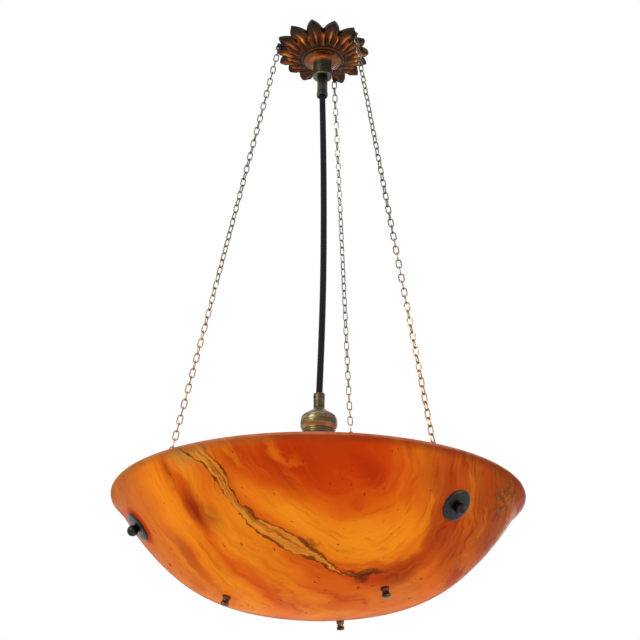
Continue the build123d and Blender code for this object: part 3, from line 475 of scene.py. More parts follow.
def fold_group():
    """How deep a place lies in the folded layers, and how far round the fold it is."""
    tree, given, out = new_group(
        "Folded layers", [("Place", VECTOR, None)], [("Depth", FLOAT), ("Around", FLOAT)]
    )
    middle = tuple(value * MM for value in FOLD_MIDDLE)
    away = vectors(tree, "SUBTRACT", given.outputs["Place"], middle)
    wide, deep = FOLD_WIDTH * MM, FOLD_DROP * MM
    level = vectors(tree, "DOT_PRODUCT", away, (cos(FOLD_TILT) / wide, 0, -sin(FOLD_TILT) / wide))
    down = vectors(tree, "DOT_PRODUCT", away, (sin(FOLD_TILT) / deep, 0, cos(FOLD_TILT) / deep))
    flat = vector_of(tree, x=level, z=down)
    tree.links.new(vectors(tree, "LENGTH", flat), out.inputs["Depth"])
    around = maths(tree, "ARCTAN2", level, times(tree, down, -1))
    tree.links.new(around, out.inputs["Around"])
    return tree


CLOUD, FOLD = cloud_group(), fold_group()
print("stone groups:", CLOUD.name, "and", FOLD.name)

# %% Drawn curve
def curve_of(tree, value, low, high, knots):
    """A drawn curve: knots of (input, output) between low and high, output in millimetres."""
    share = maths(tree, "DIVIDE", maths(tree, "SUBTRACT", value, low * MM), (high - low) * MM)
    outputs = [knot[1] for knot in knots]
    floor, span = min(outputs), max(outputs) - min(outputs)
    made = add_node(tree, "ShaderNodeFloatCurve", {1: share})
    line = made.mapping.curves[0]
    for index, (at, goes) in enumerate(knots):
        point = ((at - low) / (high - low), (goes - floor) / span)
        if index < 2:
            line.points[index].location = point
        else:
            line.points.new(*point)
    made.mapping.update()
    return maths(tree, "MULTIPLY_ADD", made.outputs[0], span * MM, floor * MM)

# %% Stone colours and layers
STONE = {
    "deep red": colour_of(184, 48, 10),
    "red": colour_of(204, 62, 14),
    "rust": colour_of(150, 46, 16),
    "brown": colour_of(168, 60, 24),
    "orange": colour_of(222, 98, 22),
    "honey": colour_of(250, 148, 30),
    "tan": colour_of(216, 120, 52),
    "olive": colour_of(200, 134, 54),
    "umber": colour_of(58, 26, 10),
    "smoke": colour_of(84, 52, 36),
}
LAYERS = (
    (0.00, (190, 58, 12)), (0.30, (198, 58, 10)), (0.45, (206, 68, 12)), (0.54, (220, 90, 16)),
    (0.66, (234, 116, 20)), (0.80, (246, 136, 24)), (0.90, (238, 124, 24)), (1.00, (210, 84, 20)),
    (1.12, (226, 106, 24)), (1.25, (246, 136, 28)), (1.34, (238, 112, 22)), (1.50, (252, 138, 26)),
    (1.66, (234, 118, 26)), (1.90, (224, 114, 32)),
)
LAYERS_DEEP = LAYERS[-1][0]
print("stone colours:", len(STONE), "and layers:", len(LAYERS))

# %% Stone clouds
# each: kind, depth in the fold, way round it, reach of each, share
CLOUD_SPREAD = 1.5
CLOUDS = (
    ("deep red", 0.40, -0.25, 0.22, 0.50, 0.75),
    ("deep red", 0.60, -0.55, 0.22, 0.45, 0.8),
    ("deep red", 0.80, -0.72, 0.16, 0.24, 0.8),
    ("red", 0.72, -0.35, 0.10, 0.26, 0.6),
    ("deep red", 0.36, 1.40, 0.16, 0.30, 0.9),
    ("red", 0.66, 1.70, 0.24, 0.22, 0.6),
    ("orange", 0.60, 1.72, 0.08, 0.16, 0.8),
    ("rust", 0.86, 1.98, 0.16, 0.18, 0.5),
    ("rust", 1.29, -0.53, 0.075, 0.17, 1.0),
    ("rust", 1.20, -0.42, 0.050, 0.12, 0.85),
    ("rust", 1.36, -0.80, 0.045, 0.11, 0.6),
    ("red", 1.30, -0.68, 0.040, 0.10, 0.5),
    ("rust", 1.62, -0.42, 0.050, 0.14, 0.45),
    ("rust", 1.02, 1.05, 0.060, 0.36, 0.85),
    ("rust", 1.00, 1.62, 0.100, 0.24, 0.7),
    ("red", 1.00, 0.70, 0.070, 0.24, 0.6),
    ("red", 1.30, 0.16, 0.060, 0.30, 0.8),
    ("red", 1.38, -0.02, 0.030, 0.24, 0.6),
    ("red", 1.19, 0.46, 0.060, 0.24, 0.6),
    ("brown", 1.15, 1.48, 0.060, 0.20, 0.6),
    ("honey", 0.78, 0.86, 0.13, 0.42, 0.7),
    ("honey", 0.80, 0.10, 0.13, 0.40, 0.7),
    ("honey", 1.13, -0.10, 0.060, 0.30, 0.5),
    ("honey", 1.24, -0.22, 0.060, 0.20, 0.6),
    ("honey", 1.47, -0.20, 0.060, 0.24, 0.5),
    ("tan", 1.13, 0.98, 0.080, 0.22, 0.6),
    ("tan", 1.74, -0.62, 0.200, 0.30, 0.4),
    ("honey", 1.45, -0.50, 0.080, 0.24, 0.6),
    ("honey", 1.10, -0.32, 0.060, 0.22, 0.5),
    ("olive", 1.17, -0.86, 0.130, 0.11, 0.9),
    ("olive", 1.05, -0.82, 0.080, 0.09, 0.6),
)


def hand_clouds(tree, depth, around, front, colour):
    """The named clouds, laid by their place in the fold."""
    place = vector_of(tree, depth, around)
    for kind, deep, way, reach_deep, reach_way, share in CLOUDS:
        reach = (reach_deep * CLOUD_SPREAD, reach_way * CLOUD_SPREAD, 1)
        mask = use(tree, CLOUD, Place=place, Centre=(deep, way, 0), Reach=reach).outputs[0]
        colour = blend(tree, times(tree, mask, front, share), colour, STONE[kind])
    return colour


print("clouds:", len(CLOUDS))

# %% Layers and streaks
FAR_SIDES = (
    (0.125, 0.185, 0.62, colour_of(112, 40, 18)),
    (-0.15, -0.19, 0.30, colour_of(150, 84, 58)),
)


def layer_colour(tree, soft, ragged, right):
    """The folded layers: broad bands, and streaks drawn out along them."""
    fold = use(tree, FOLD, Place=soft)
    depth, around = fold.outputs["Depth"], fold.outputs["Around"]
    parts = axes(tree, soft)
    stops = [(deep / LAYERS_DEEP, colour_of(*colour)) for deep, colour in LAYERS]
    colour = ramp(tree, maths(tree, "DIVIDE", depth, LAYERS_DEEP), stops)
    front = ease(tree, parts["Y"], 0.01, -0.03)
    colour = hand_clouds(tree, depth, around, front, colour)
    fine_fold = use(tree, FOLD, Place=ragged).outputs["Depth"]

    def drawn(across, along, back):
        return vector_of(
            tree, times(tree, fine_fold, across), times(tree, around, along), times(tree, parts["Y"], back)
        )

    broad = noise(tree, drawn(7.0, 1.2, 9.0), 1.0, 3.0, 0.6, 0.3).outputs[0]
    fine = noise(tree, drawn(24.0, 1.5, 14.0), 1.0, 5.0, 0.62, 0.3).outputs[0]
    hair = noise(tree, drawn(80.0, 2.4, 30.0), 1.0, 3.0, 0.6, 0.2).outputs[0]
    outer = ease(tree, depth, 0.25, 0.6)
    colour = blend(tree, times(tree, right, 0.66), colour, STONE["brown"])
    colour = blend(tree, ease(tree, broad, 0.54, 0.70, 0.0, 0.4), colour, STONE["red"])
    pale = times(tree, ease(tree, broad, 0.46, 0.32, 0.0, 0.45), outer)
    colour = blend(tree, pale, colour, STONE["honey"])
    dark = times(tree, maths(tree, "MULTIPLY_ADD", right, 0.4, 0.26), outer)
    colour = blend(tree, times(tree, ease(tree, fine, 0.50, 0.66), dark), colour, STONE["rust"])
    light = times(tree, ease(tree, fine, 0.46, 0.34, 0.0, 0.4), outer)
    colour = blend(tree, light, colour, STONE["orange"])
    lines = times(tree, maths(tree, "MULTIPLY_ADD", right, 0.3, 0.07), outer)
    colour = blend(tree, times(tree, ease(tree, hair, 0.58, 0.74), lines), colour, STONE["umber"])

    # the far sides of the bowl are browner, because the lamp is further from them
    for low, high, share, shade in FAR_SIDES:
        colour = blend(tree, ease(tree, parts["X"], low, high, 0.0, share), colour, shade)
    return colour, fine, drawn(64.0, 13.0, 66.0)

# %% The vein
VEIN_LOW, VEIN_HIGH = -150, 110
VEIN_MIDDLE = (
    (-150, -536), (-106, -566), (-97, -577), (-83, -594), (-69, -612), (-53, -624),
    (-31, -635), (-11, -644), (12, -653), (27, -657), (57, -655), (110, -651),
)
VEIN_WIDTH = (
    (-150, 17), (-106, 15), (-90, 13), (-72, 9.5), (-58, 10), (-42, 14), (-22, 12), (-4, 7), (14, 3),
    (30, 1.2), (57, 0.8), (110, 0),
)


def add_vein(tree, place, colour):
    """A tan band of fibres between two dark cracks, which narrows to one thin line."""
    soft = warped(tree, place, 28.0, 0.012)
    jagged = warped(tree, soft, 130.0, 0.005)
    bent = axes(tree, jagged)
    front = times(tree, ease(tree, bent["Y"], -0.055, -0.08), ease(tree, bent["X"], 0.072, 0.05))
    middle = curve_of(tree, bent["X"], VEIN_LOW, VEIN_HIGH, VEIN_MIDDLE)
    width = curve_of(tree, bent["X"], VEIN_LOW, VEIN_HIGH, VEIN_WIDTH)
    away = maths(tree, "SUBTRACT", bent["Z"], middle)
    half = times(tree, width, 0.5)
    past = maths(tree, "SUBTRACT", maths(tree, "ABSOLUTE", away), half)
    inside = ease(tree, past, -0.0008, 0.0008, 1.0, 0.0)

    # fibres run along the vein
    run = vector_of(tree, times(tree, bent["X"], 26.0), times(tree, away, 300.0))
    fibre = noise(tree, run, 1.0, 5.0, 0.65, 0.5).outputs[0]
    fill = ramp(
        tree, fibre,
        [
            (0.30, colour_of(238, 154, 50)), (0.48, colour_of(220, 134, 44)),
            (0.58, colour_of(186, 104, 36)), (0.66, colour_of(104, 52, 18)), (0.8, colour_of(190, 112, 40)),
        ],
    )
    colour = blend(tree, times(tree, inside, front, 0.88), colour, fill)

    # each side closes with a broken dark crack, heavier on the upper side
    broken = noise(tree, place, 70.0, 5.0, 0.65).outputs[0]
    upper = ease(tree, away, -0.001, 0.001, 0.55, 1.0)
    thick = times(tree, ease(tree, broken, 0.40, 0.66, 0.0007, 0.0036), upper)
    from_edge = maths(tree, "DIVIDE", maths(tree, "ABSOLUTE", past), thick)
    crack = ease(tree, maths(tree, "SUBTRACT", 1.0, from_edge, clamp=True), 0.0, 0.6)
    return blend(tree, times(tree, crack, front, 0.7), colour, STONE["umber"])


print("vein from x", VEIN_LOW, "to", VEIN_HIGH, "mm")

# %% Marks
# each: centre, reach, share
BLOTCHES = (((42, -91, -659), 13, 0.75), ((-6, -137, -638), 10, 0.6))
CRACKLE = (178, -80, -578)
LEFT_FIXING = (-174.8, -45.1, -598.4)
FIXING_SHADE_RED, SPECK = colour_of(186, 44, 10), colour_of(104, 28, 8)


def add_marks(tree, place, colour):
    """The blotch where the vein ends, a dark wedge on it, crackle by the rim at the right, and a ring
    of painted red shade round the left fixing."""
    torn = warped(tree, place, 110.0, 0.02)
    for centre, reach, share in BLOTCHES:
        mask = near(tree, torn, centre, reach * 0.15, reach)
        colour = blend(tree, times(tree, mask, share), colour, STONE["umber"])
    wander = noise(tree, torn, 34.0, 5.0, 0.7, 1.2).outputs[0]
    ridge = maths(tree, "ABSOLUTE", maths(tree, "SUBTRACT", wander, 0.5))
    crack = ease(tree, ridge, 0.004, 0.05, 1.0, 0.0)
    by_rim = near(tree, torn, CRACKLE, 8, 34)
    colour = blend(tree, times(tree, crack, by_rim, 0.85), colour, STONE["smoke"])
    # painted shade: a dark red ring on the stone just round the left fixing's disc
    fixing_shade = near(tree, place, LEFT_FIXING, 17, 24)
    return blend(tree, times(tree, fixing_shade, 0.8), colour, FIXING_SHADE_RED)


def add_specks(tree, spots, colour):
    """Small dark specks: about one cell in six of a stretched cell pattern holds one."""
    found = add_node(tree, "ShaderNodeTexVoronoi", {"Vector": spots, "Scale": 1.0}, feature="F1")
    size = add_node(tree, "ShaderNodeSeparateColor", {0: found.outputs["Color"]}).outputs[0]
    reach = ease(tree, size, 0.84, 1.0, 0.0, 0.26)
    inside = ease(tree, maths(tree, "SUBTRACT", reach, found.outputs["Distance"]), -0.03, 0.04)
    return blend(tree, times(tree, inside, 0.7), colour, SPECK)


print("marks:", len(BLOTCHES) + 2, "and specks")

# %% Lip
# heights in mm between which the lip's colour and the painted sheen on its crest set in
LIP_FOOT, LIP_FULL, CREST_FOOT, CREST_FULL = -566.8, -560.5, -560.6, -558.5
LIP_SIDES = (
    (0.0, colour_of(196, 124, 62)), (0.35, colour_of(190, 96, 46)), (0.6, colour_of(168, 62, 26)),
    (1.0, colour_of(140, 70, 38)),
)
LIP_STAIN, LIP_CREST_SHEEN = colour_of(116, 52, 26), colour_of(214, 134, 98)


def lip_colour(tree, place, parts, colour):
    """Out of the lamp's direct light the lip is browner: tan at the left, umber at the right. Its
    crest has a painted pale sheen, broken up by noise."""
    base = ramp(tree, ease(tree, parts["X"], -0.17, 0.19), LIP_SIDES)
    stain = noise(tree, mapped(tree, place, scale=(1, 1, 3)), 26.0, 4.0, 0.6).outputs[0]
    base = blend(tree, ease(tree, stain, 0.45, 0.7, 0.0, 0.6), base, LIP_STAIN)
    lip = ease(tree, parts["Z"], LIP_FOOT * MM, LIP_FULL * MM)
    colour = blend(tree, times(tree, lip, 0.62), colour, base)
    # painted sheen: a pale reflection along the lip's crest, broken up by noise
    wear = noise(tree, place, 60.0, 4.0, 0.65).outputs[0]
    crest = ease(tree, parts["Z"], CREST_FOOT * MM, CREST_FULL * MM)
    crest = times(tree, crest, ease(tree, wear, 0.3, 0.65, 0.35, 0.85))
    return blend(tree, crest, colour, LIP_CREST_SHEEN), lip


print("lip from", LIP_FOOT, "to", LIP_FULL, "mm")

# %% Alabaster
STONE_GLOW, STONE_BODY, STONE_GLOSS = 0.64, 0.4, 0.006
STONE_EDGE_SHADE = colour_of(96, 42, 34)


def grey(tree, value):
    """A grey of this brightness."""
    return add_node(tree, "ShaderNodeCombineColor", {0: value, 1: value, 2: value}).outputs[0]


def make_alabaster():
    """The stone: most of its light is its own glow, from the lamp inside the bowl."""
    material, tree, shader = new_material("Alabaster")
    place = object_place(tree)
    parts = axes(tree, place)
    soft = warped(tree, place, 13.0, 0.030)
    ragged = warped(tree, soft, 70.0, 0.006)

    # the browner right side begins further out low on the bowl
    rise = maths(tree, "MULTIPLY_ADD", parts["Z"], 0.4, 0.248)
    right = ease(tree, maths(tree, "ADD", parts["X"], rise), 0.085, 0.14)
    colour, fine, spots = layer_colour(tree, soft, ragged, right)
    colour = add_vein(tree, place, colour)
    colour = add_marks(tree, place, colour)
    colour = add_specks(tree, spots, colour)
    colour, lip = lip_colour(tree, place, parts, colour)
    # painted shade: the stone darkens where it is seen edge on
    edge_on = ease(tree, turned_away(tree), 0.86, 1.0, 0.0, 0.7)
    colour = blend(tree, edge_on, colour, STONE_EDGE_SHADE)
    glow = maths(tree, "MULTIPLY_ADD", lip, -0.35, 1.0)
    lit = blend(tree, 1.0, colour, grey(tree, glow), "MULTIPLY")
    tree.links.new(lit, shader.inputs["Emission Color"])
    body = blend(tree, 1.0, colour, (STONE_BODY, STONE_BODY, STONE_BODY, 1), "MULTIPLY")
    tree.links.new(body, shader.inputs["Base Color"])
    shader.inputs["Emission Strength"].default_value = STONE_GLOW
    shader.inputs["Specular IOR Level"].default_value = STONE_GLOSS
    polish = noise(tree, place, 55.0, 3.0, 0.6).outputs[0]
    tree.links.new(ease(tree, polish, 0.3, 0.75, 0.3, 0.46), shader.inputs["Roughness"])
    tool = noise(tree, mapped(tree, place, scale=(40, 40, 260)), 1.0, 2.0, 0.5).outputs[0]
    bump(tree, shader, maths(tree, "MULTIPLY_ADD", fine, 0.5, tool), 0.10, 0.0006)
    return material


alabaster = make_alabaster()
print("alabaster:", len(alabaster.node_tree.nodes), "nodes")

# %% [markdown]
# ## Other finishes
# The remaining finishes are small: the braid of the cord, leather, plated steel, glazed ceramic,
# glass and the insulation of the cores. Each still has its own grain, because a flat colour
# never looks like a material.

# %% Braid
BRAID_ROUND, BRAID_ALONG = 12.0, 420.0
FLEX_HOLLOW_SHADE, FLEX_LIGHT = (0.002, 0.002, 0.004, 1), (0.014, 0.015, 0.022, 1)
FLEX_DUST = (0.03, 0.028, 0.03, 1)


def blend_value(tree, factor, first, second):
    made = add_node(tree, "ShaderNodeMix", {0: factor, 2: first, 3: second}, data_type="FLOAT")
    return made.outputs[0]


def make_braid():
    """Two families of threads that cross over and under, from the cord's own UV map."""
    material, tree, shader = new_material("Braided flex")
    parts = axes(tree, add_node(tree, "ShaderNodeUVMap", uv_map="UVMap").outputs[0])
    around = times(tree, parts["X"], BRAID_ROUND)
    along = times(tree, parts["Y"], BRAID_ALONG)
    one = maths(tree, "ADD", around, along)
    two = maths(tree, "SUBTRACT", around, along)
    swell = times(tree, *[
        maths(tree, "SINE", times(tree, maths(tree, "FRACT", way), pi)) for way in (one, two)
    ])
    crossing = maths(tree, "ADD", maths(tree, "FLOOR", one), maths(tree, "FLOOR", two))
    over = maths(tree, "PINGPONG", crossing, 1.0)
    thread = maths(tree, "SINE", times(tree, blend_value(tree, over, one, two), 6 * pi))
    height = maths(tree, "MULTIPLY_ADD", thread, 0.12, swell)
    # painted shade: the hollows between the threads are darker than their crests
    lit = blend(tree, ease(tree, height, 0.1, 1.0), FLEX_HOLLOW_SHADE, FLEX_LIGHT)
    dust = noise(tree, object_place(tree), 300.0, 3.0, 0.6).outputs[0]
    lit = blend(tree, ease(tree, dust, 0.55, 0.8, 0.0, 0.4), lit, FLEX_DUST)
    tree.links.new(lit, shader.inputs["Base Color"])
    shader.inputs["Roughness"].default_value = 0.78
    shader.inputs["Specular IOR Level"].default_value = 0.2
    bump(tree, shader, height, 0.8, 0.0003)
    return material


braid = make_braid()
print("braid:", len(braid.node_tree.nodes), "nodes")

# %% Plain finishes
PLAIN_DEPTH, PLAIN_STRENGTH = 0.00015, 0.4


def plain_finish(name, dark, light, scale, rough, metallic=0.0):
    """A finish with one grain: two near colours, some roughness either side, and a bump."""
    material, tree, shader = new_material(name)
    grain = noise(tree, object_place(tree), scale, 5.0, 0.6).outputs[0]
    colour = blend(tree, ease(tree, grain, 0.32, 0.68), dark, light)
    tree.links.new(colour, shader.inputs["Base Color"])
    uneven = ease(tree, grain, 0.3, 0.7, rough * 0.8, min(1, rough * 1.2))
    tree.links.new(uneven, shader.inputs["Roughness"])
    shader.inputs["Metallic"].default_value = metallic
    bump(tree, shader, grain, PLAIN_STRENGTH, PLAIN_DEPTH)
    return material


leather = plain_finish("Leather", colour_of(62, 38, 22), colour_of(96, 62, 38), 900.0, 0.7)
steel = plain_finish("Plated steel", colour_of(150, 150, 148), colour_of(186, 186, 182), 400.0, 0.35, 0.9)
ceramic = plain_finish("Glazed ceramic", colour_of(226, 222, 210), colour_of(240, 237, 228), 180.0, 0.22)
insulation = plain_finish("Core insulation", colour_of(96, 60, 34), colour_of(122, 78, 44), 700.0, 0.55)
cap_metal = plain_finish(
    "Bulb cap metal", colour_of(176, 174, 168), colour_of(206, 204, 198), 350.0, 0.3, 0.9
)
print("materials:", len(bpy.data.materials))

# %% Glass and filament
GLASS_TINT, GLASS_IOR = (1.0, 0.97, 0.92, 1.0), 1.45
EMBER_GLOW, WHITE_GLOW, FILAMENT_STRENGTH = (1.0, 0.42, 0.10, 1), (1.0, 0.62, 0.25, 1), 4.0


def make_glass():
    material, tree, shader = new_material("Bulb glass")
    waves = noise(tree, object_place(tree), 60.0, 2.0, 0.5).outputs[0]
    tree.links.new(ease(tree, waves, 0.3, 0.7, 0.0, 0.03), shader.inputs["Roughness"])
    shader.inputs["Base Color"].default_value = GLASS_TINT
    shader.inputs["Transmission Weight"].default_value = 1.0
    shader.inputs["IOR"].default_value = GLASS_IOR
    bump(tree, shader, waves, 0.05, 0.0003)
    return material


def make_filament():
    material, tree, shader = new_material("Glowing filament")
    heat = noise(tree, object_place(tree), 500.0, 2.0, 0.5).outputs[0]
    glow = blend(tree, ease(tree, heat, 0.3, 0.7), EMBER_GLOW, WHITE_GLOW)
    tree.links.new(glow, shader.inputs["Emission Color"])
    tree.links.new(glow, shader.inputs["Base Color"])
    shader.inputs["Emission Strength"].default_value = FILAMENT_STRENGTH
    return material


glass = make_glass()
filament = make_filament()
print("materials:", len(bpy.data.materials))

# %% [markdown]
# ## Turned pieces
# The bowl, its discs, knobs and balls, and all the parts of the lampholder are turned: each is one
# outline spun about an axis. That is a rule, so a geometry node tree does it. A grid is wrapped
# round the axis, and each of its rows takes its radius and height from one point of the outline.
# Pieces that repeat at the three fixings are instanced round the bowl by the same tree.

# %% Placing, shared by the trees
PLACING = [
    ("Copies", WHOLE, 1),
    ("First Turn", FLOAT, 0.0),
    ("Step Turn", FLOAT, 2 * pi / 3),
    ("Tilt", FLOAT, 0.0),
    ("Out", FLOAT, 0.0),
    ("Up", FLOAT, 0.0),
    ("Finish", FINISH, None),
]


def new_shape_tree(name, sockets_in):
    return new_group(name, sockets_in, [("Mesh", GEOMETRY)], "GeometryNodeTree")


def node_index(tree):
    return tree.nodes.new("GeometryNodeInputIndex").outputs[0]


def placed_copies(tree, given, piece):
    """Tilt a piece, move it out and up, and repeat it round the upright middle line."""
    shift = vector_of(tree, x=given.outputs["Out"], z=given.outputs["Up"])
    tilt = vector_of(tree, y=given.outputs["Tilt"])
    placed = add_node(
        tree, "GeometryNodeTransform", {"Geometry": piece, "Translation": shift, "Rotation": tilt}
    )
    points = add_node(tree, "GeometryNodePoints", {"Count": given.outputs["Copies"]})
    angle = maths(
        tree, "MULTIPLY_ADD", node_index(tree), given.outputs["Step Turn"], given.outputs["First Turn"]
    )
    copies = add_node(
        tree, "GeometryNodeInstanceOnPoints",
        {"Points": points.outputs[0], "Instance": placed.outputs[0], "Rotation": vector_of(tree, z=angle)},
    )
    return copies.outputs[0]


def end_tree(tree, given, out, geometry):
    """End a tree with its instances made real and the finish set."""
    real = add_node(tree, "GeometryNodeRealizeInstances", {"Geometry": geometry})
    dressed = add_node(
        tree, "GeometryNodeSetMaterial",
        {"Geometry": real.outputs[0], "Material": given.outputs["Finish"]},
    )
    tree.links.new(dressed.outputs[0], out.inputs["Mesh"])
    return tree


print("placing inputs:", [label for label, _, _ in PLACING])

# %% Turning tree
def turning_tree():
    """A grid wrapped round the axis, whose rows follow the points of an outline."""
    tree, given, out = new_shape_tree(
        "Turned piece", [("Outline", GEOMETRY, None), ("Segments", WHOLE, 96), *PLACING]
    )
    outline = given.outputs["Outline"]
    size = add_node(tree, "GeometryNodeAttributeDomainSize", {0: outline}, component="MESH")
    rows = size.outputs["Point Count"]
    columns = maths(tree, "ADD", given.outputs["Segments"], 1.0)
    grid = add_node(tree, "GeometryNodeMeshGrid", {"Vertices X": columns, "Vertices Y": rows})
    index = node_index(tree)
    row = maths(tree, "FLOORED_MODULO", index, rows)
    column = maths(tree, "FLOOR", maths(tree, "DIVIDE", maths(tree, "ADD", index, 0.5), rows))
    position = tree.nodes.new("GeometryNodeInputPosition").outputs[0]
    sample = add_node(tree, "GeometryNodeSampleIndex", data_type="FLOAT_VECTOR", domain="POINT")
    tree.links.new(outline, sample.inputs["Geometry"])
    tree.links.new(position, sample.inputs["Value"])
    tree.links.new(row, sample.inputs["Index"])
    turn = times(tree, maths(tree, "DIVIDE", column, given.outputs["Segments"]), 2 * pi)
    spun = add_node(
        tree, "ShaderNodeVectorRotate", {"Vector": sample.outputs[0], "Angle": turn},
        rotation_type="Z_AXIS",
    )
    wrapped = add_node(
        tree, "GeometryNodeSetPosition",
        {"Geometry": grid.outputs["Mesh"], "Position": spun.outputs[0]},
    )
    joined = add_node(
        tree, "GeometryNodeMergeByDistance", {"Geometry": wrapped.outputs[0], "Distance": 1e-7}
    )
    return end_tree(tree, given, out, placed_copies(tree, given, joined.outputs[0]))


TURNING = turning_tree()
print("turning tree:", len(TURNING.nodes), "nodes")

# %% From a tree to a plain mesh
def set_inputs(modifier, **values):
    """Give a geometry modifier its inputs by the sockets' identifiers."""
    for item in modifier.node_group.interface.items_tree:
        if item.item_type == "SOCKET" and item.in_out == "INPUT":
            key = item.name.replace(" ", "_")
            if key in values:
                modifier[item.identifier] = values[key]


def settle(holder, name, sharp=SHARP_EDGE):
    """Turn the evaluated object into one plain mesh, and drop the holder and its modifier."""
    bpy.context.view_layer.update()
    graph = bpy.context.evaluated_depsgraph_get()
    mesh = bpy.data.meshes.new_from_object(holder.evaluated_get(graph))
    mesh.name = name
    bpy.data.objects.remove(holder)
    finish_mesh(mesh, sharp)
    return add_object(name, mesh)

# %% Outlines
ROUNDING_STEPS = 3


def rounded(points, radius):
    """Outline in millimetres with each corner between its ends rounded by up to this radius."""
    soft = [Vector(points[0])]
    for before, corner, after in zip(points, points[1:], points[2:]):
        before, corner, after = Vector(before), Vector(corner), Vector(after)
        one, two = before - corner, after - corner
        reach = min(radius, one.length * 0.45, two.length * 0.45)
        start, end = corner + one.normalized() * reach, corner + two.normalized() * reach
        for step in range(ROUNDING_STEPS + 1):
            share = step / ROUNDING_STEPS
            soft.append(start.lerp(corner, share).lerp(corner.lerp(end, share), share))
    soft.append(Vector(points[-1]))
    return soft


def outline_object(points):
    """The outline as loose edges in the XZ plane, from (radius, height) in millimetres."""
    mesh = bpy.data.meshes.new("outline")
    verts = [(max(point[0], 0.0) * MM, 0.0, point[1] * MM) for point in points]
    mesh.from_pydata(verts, [(i, i + 1) for i in range(len(verts) - 1)], [])
    return add_object("outline", mesh)


def turn_piece(name, points, finish, segments=96, sharp=SHARP_EDGE, **place):
    """Spin an outline of (radius, height) points, in millimetres, into a piece. The outline is
    closed here, from its last point back to its first."""
    points = [tuple(point)[:2] for point in points]
    holder = outline_object(points + points[:1])
    modifier = holder.modifiers.new("Turned piece", "NODES")
    modifier.node_group = TURNING
    set_inputs(modifier, Segments=segments, Finish=finish, **place)
    return settle(holder, name, sharp)


def keep(piece, body, slot, *stands_for):
    """The piece rides a body and stands for CAD nodes, which are hidden. The slot is not used."""
    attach(piece, body)
    if stands_for:
        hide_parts(*stands_for)
    return piece


def report(piece):
    print(f"{piece.name}: {len(piece.data.polygons)} faces")


print("outline tools are ready")

# %% [markdown]
# ## Bowl
# The bowl's outside is three arcs that run into each other: a flat base, a rounder knuckle and a
# long flank. The lip turns out at the top. The inside is the same line 10 mm further in. The
# outline is walked in short steps, spun, and then drilled for the six bolts by a second tree.

# %% Bowl arcs
DROP = 560.0
RIM_R = 210.0
LIP_OVERHANG, LIP_UNDER, WALL = 8.9, 10.2, 10.0
# radius of each arc, and the slope in degrees at which it ends; the last one ends at the neck
ARC_SIZES = ((364.8, 14.08), (148.6, 41.36), (274.9, None))


def bowl_arcs():
    """Centre, radius, and slopes of each arc, with heights from the bowl's lowest point."""
    arcs, centre, start, old = [], Vector((0.0, ARC_SIZES[0][0])), 0.0, ARC_SIZES[0][0]
    for radius, end in ARC_SIZES:
        step = old - radius
        centre = centre + Vector((step * sin(radians(start)), -step * cos(radians(start))))
        if end is None:
            end = degrees(asin((RIM_R - LIP_OVERHANG - centre.x) / radius))
        arcs.append((centre.copy(), radius, start, end))
        start, old = end, radius
    return arcs


ARCS = bowl_arcs()
last_centre, last_radius, _, last_slope = ARCS[-1]
BOTTOM_Z = -DROP - LIP_UNDER - (last_centre.y - last_radius * cos(radians(last_slope)))


print("arcs end at slopes of", [round(arc[3], 1) for arc in ARCS], "degrees")

# %% Bowl outline
WALL_STEP = 1.0
LIP_TOP, LIP_NOSE, LIP_SINK = 4.2, 5.0, 0.4
LIP_STEPS, LIP_FROM, LIP_SWEEP = 8, -25, 115


def wall_point(arc, depth, slope):
    """Radius and height at a slope of one arc, at a depth in the stone."""
    centre, radius = arc[0], arc[1] - depth
    return (
        centre.x + radius * sin(radians(slope)),
        BOTTOM_Z + centre.y - radius * cos(radians(slope)),
    )


def wall_line(depth):
    """Points up the wall at a depth in the stone, from the middle to the neck."""
    points = []
    for arc in ARCS:
        count = max(2, int((arc[3] - arc[2]) / WALL_STEP))
        points += [wall_point(arc, depth, arc[2] + (arc[3] - arc[2]) * i / count) for i in range(count)]
    points.append(wall_point(ARCS[-1], depth, ARCS[-1][3]))
    return points


def round_lip(neck, brim):
    """The lip from the neck outside over its crest to the inside of the wall."""
    lip_z = -DROP

    # the hollow under the lip
    edge = [neck, (neck[0] + 2.6, neck[1] + 1.9), (RIM_R - 1.6, lip_z - LIP_NOSE * 0.72)]

    # the nose, an oval from a little under its middle to its crest
    middle = Vector((RIM_R - LIP_NOSE, lip_z - LIP_SINK))
    for index in range(LIP_STEPS + 1):
        turn = radians(LIP_FROM + LIP_SWEEP * index / LIP_STEPS)
        edge.append((middle.x + LIP_NOSE * cos(turn), middle.y + (LIP_TOP + LIP_SINK) * sin(turn)))

    # the soft edge into the bowl
    edge += [(brim[0] + 3.2, lip_z + LIP_TOP), (brim[0] + 1.4, lip_z + LIP_TOP - 0.5)]
    edge += [(brim[0] + 0.5, lip_z + LIP_TOP - 1.8)]
    return edge


outside, inside = wall_line(0.0), wall_line(WALL)
bowl_outline = outside + round_lip(outside[-1], inside[-1])[1:] + inside[::-1]
print("bowl outline:", len(bowl_outline), "points, bottom at", round(BOTTOM_Z, 2))

# %% Fixing places
FIXING_COUNT, FIRST_TURN = 3, radians(74.46)
UPPER_FIX_R, LOWER_FIX_R = 180.5, 90.8


def wall_place(radius):
    """Height and slope of the outside of the wall at a radius."""
    for arc in ARCS:
        slope = degrees(asin(min(1.0, (radius - arc[0].x) / arc[1])))
        if slope <= arc[3]:
            break
    return wall_point(arc, 0.0, slope)[1], radians(slope)


def at_fixings(radius):
    """Where the turning tree puts a piece: on the wall, its own axis out of the stone."""
    height, slope = wall_place(radius)
    return {
        "Copies": FIXING_COUNT, "First_Turn": FIRST_TURN, "Tilt": pi - slope,
        "Out": radius * MM, "Up": height * MM,
    }


UPPER, LOWER = at_fixings(UPPER_FIX_R), at_fixings(LOWER_FIX_R)
print("fixings slope", [round(degrees(pi - each["Tilt"]), 1) for each in (UPPER, LOWER)], "degrees")

# %% Drilling tree
DRILL_SIDES = 24


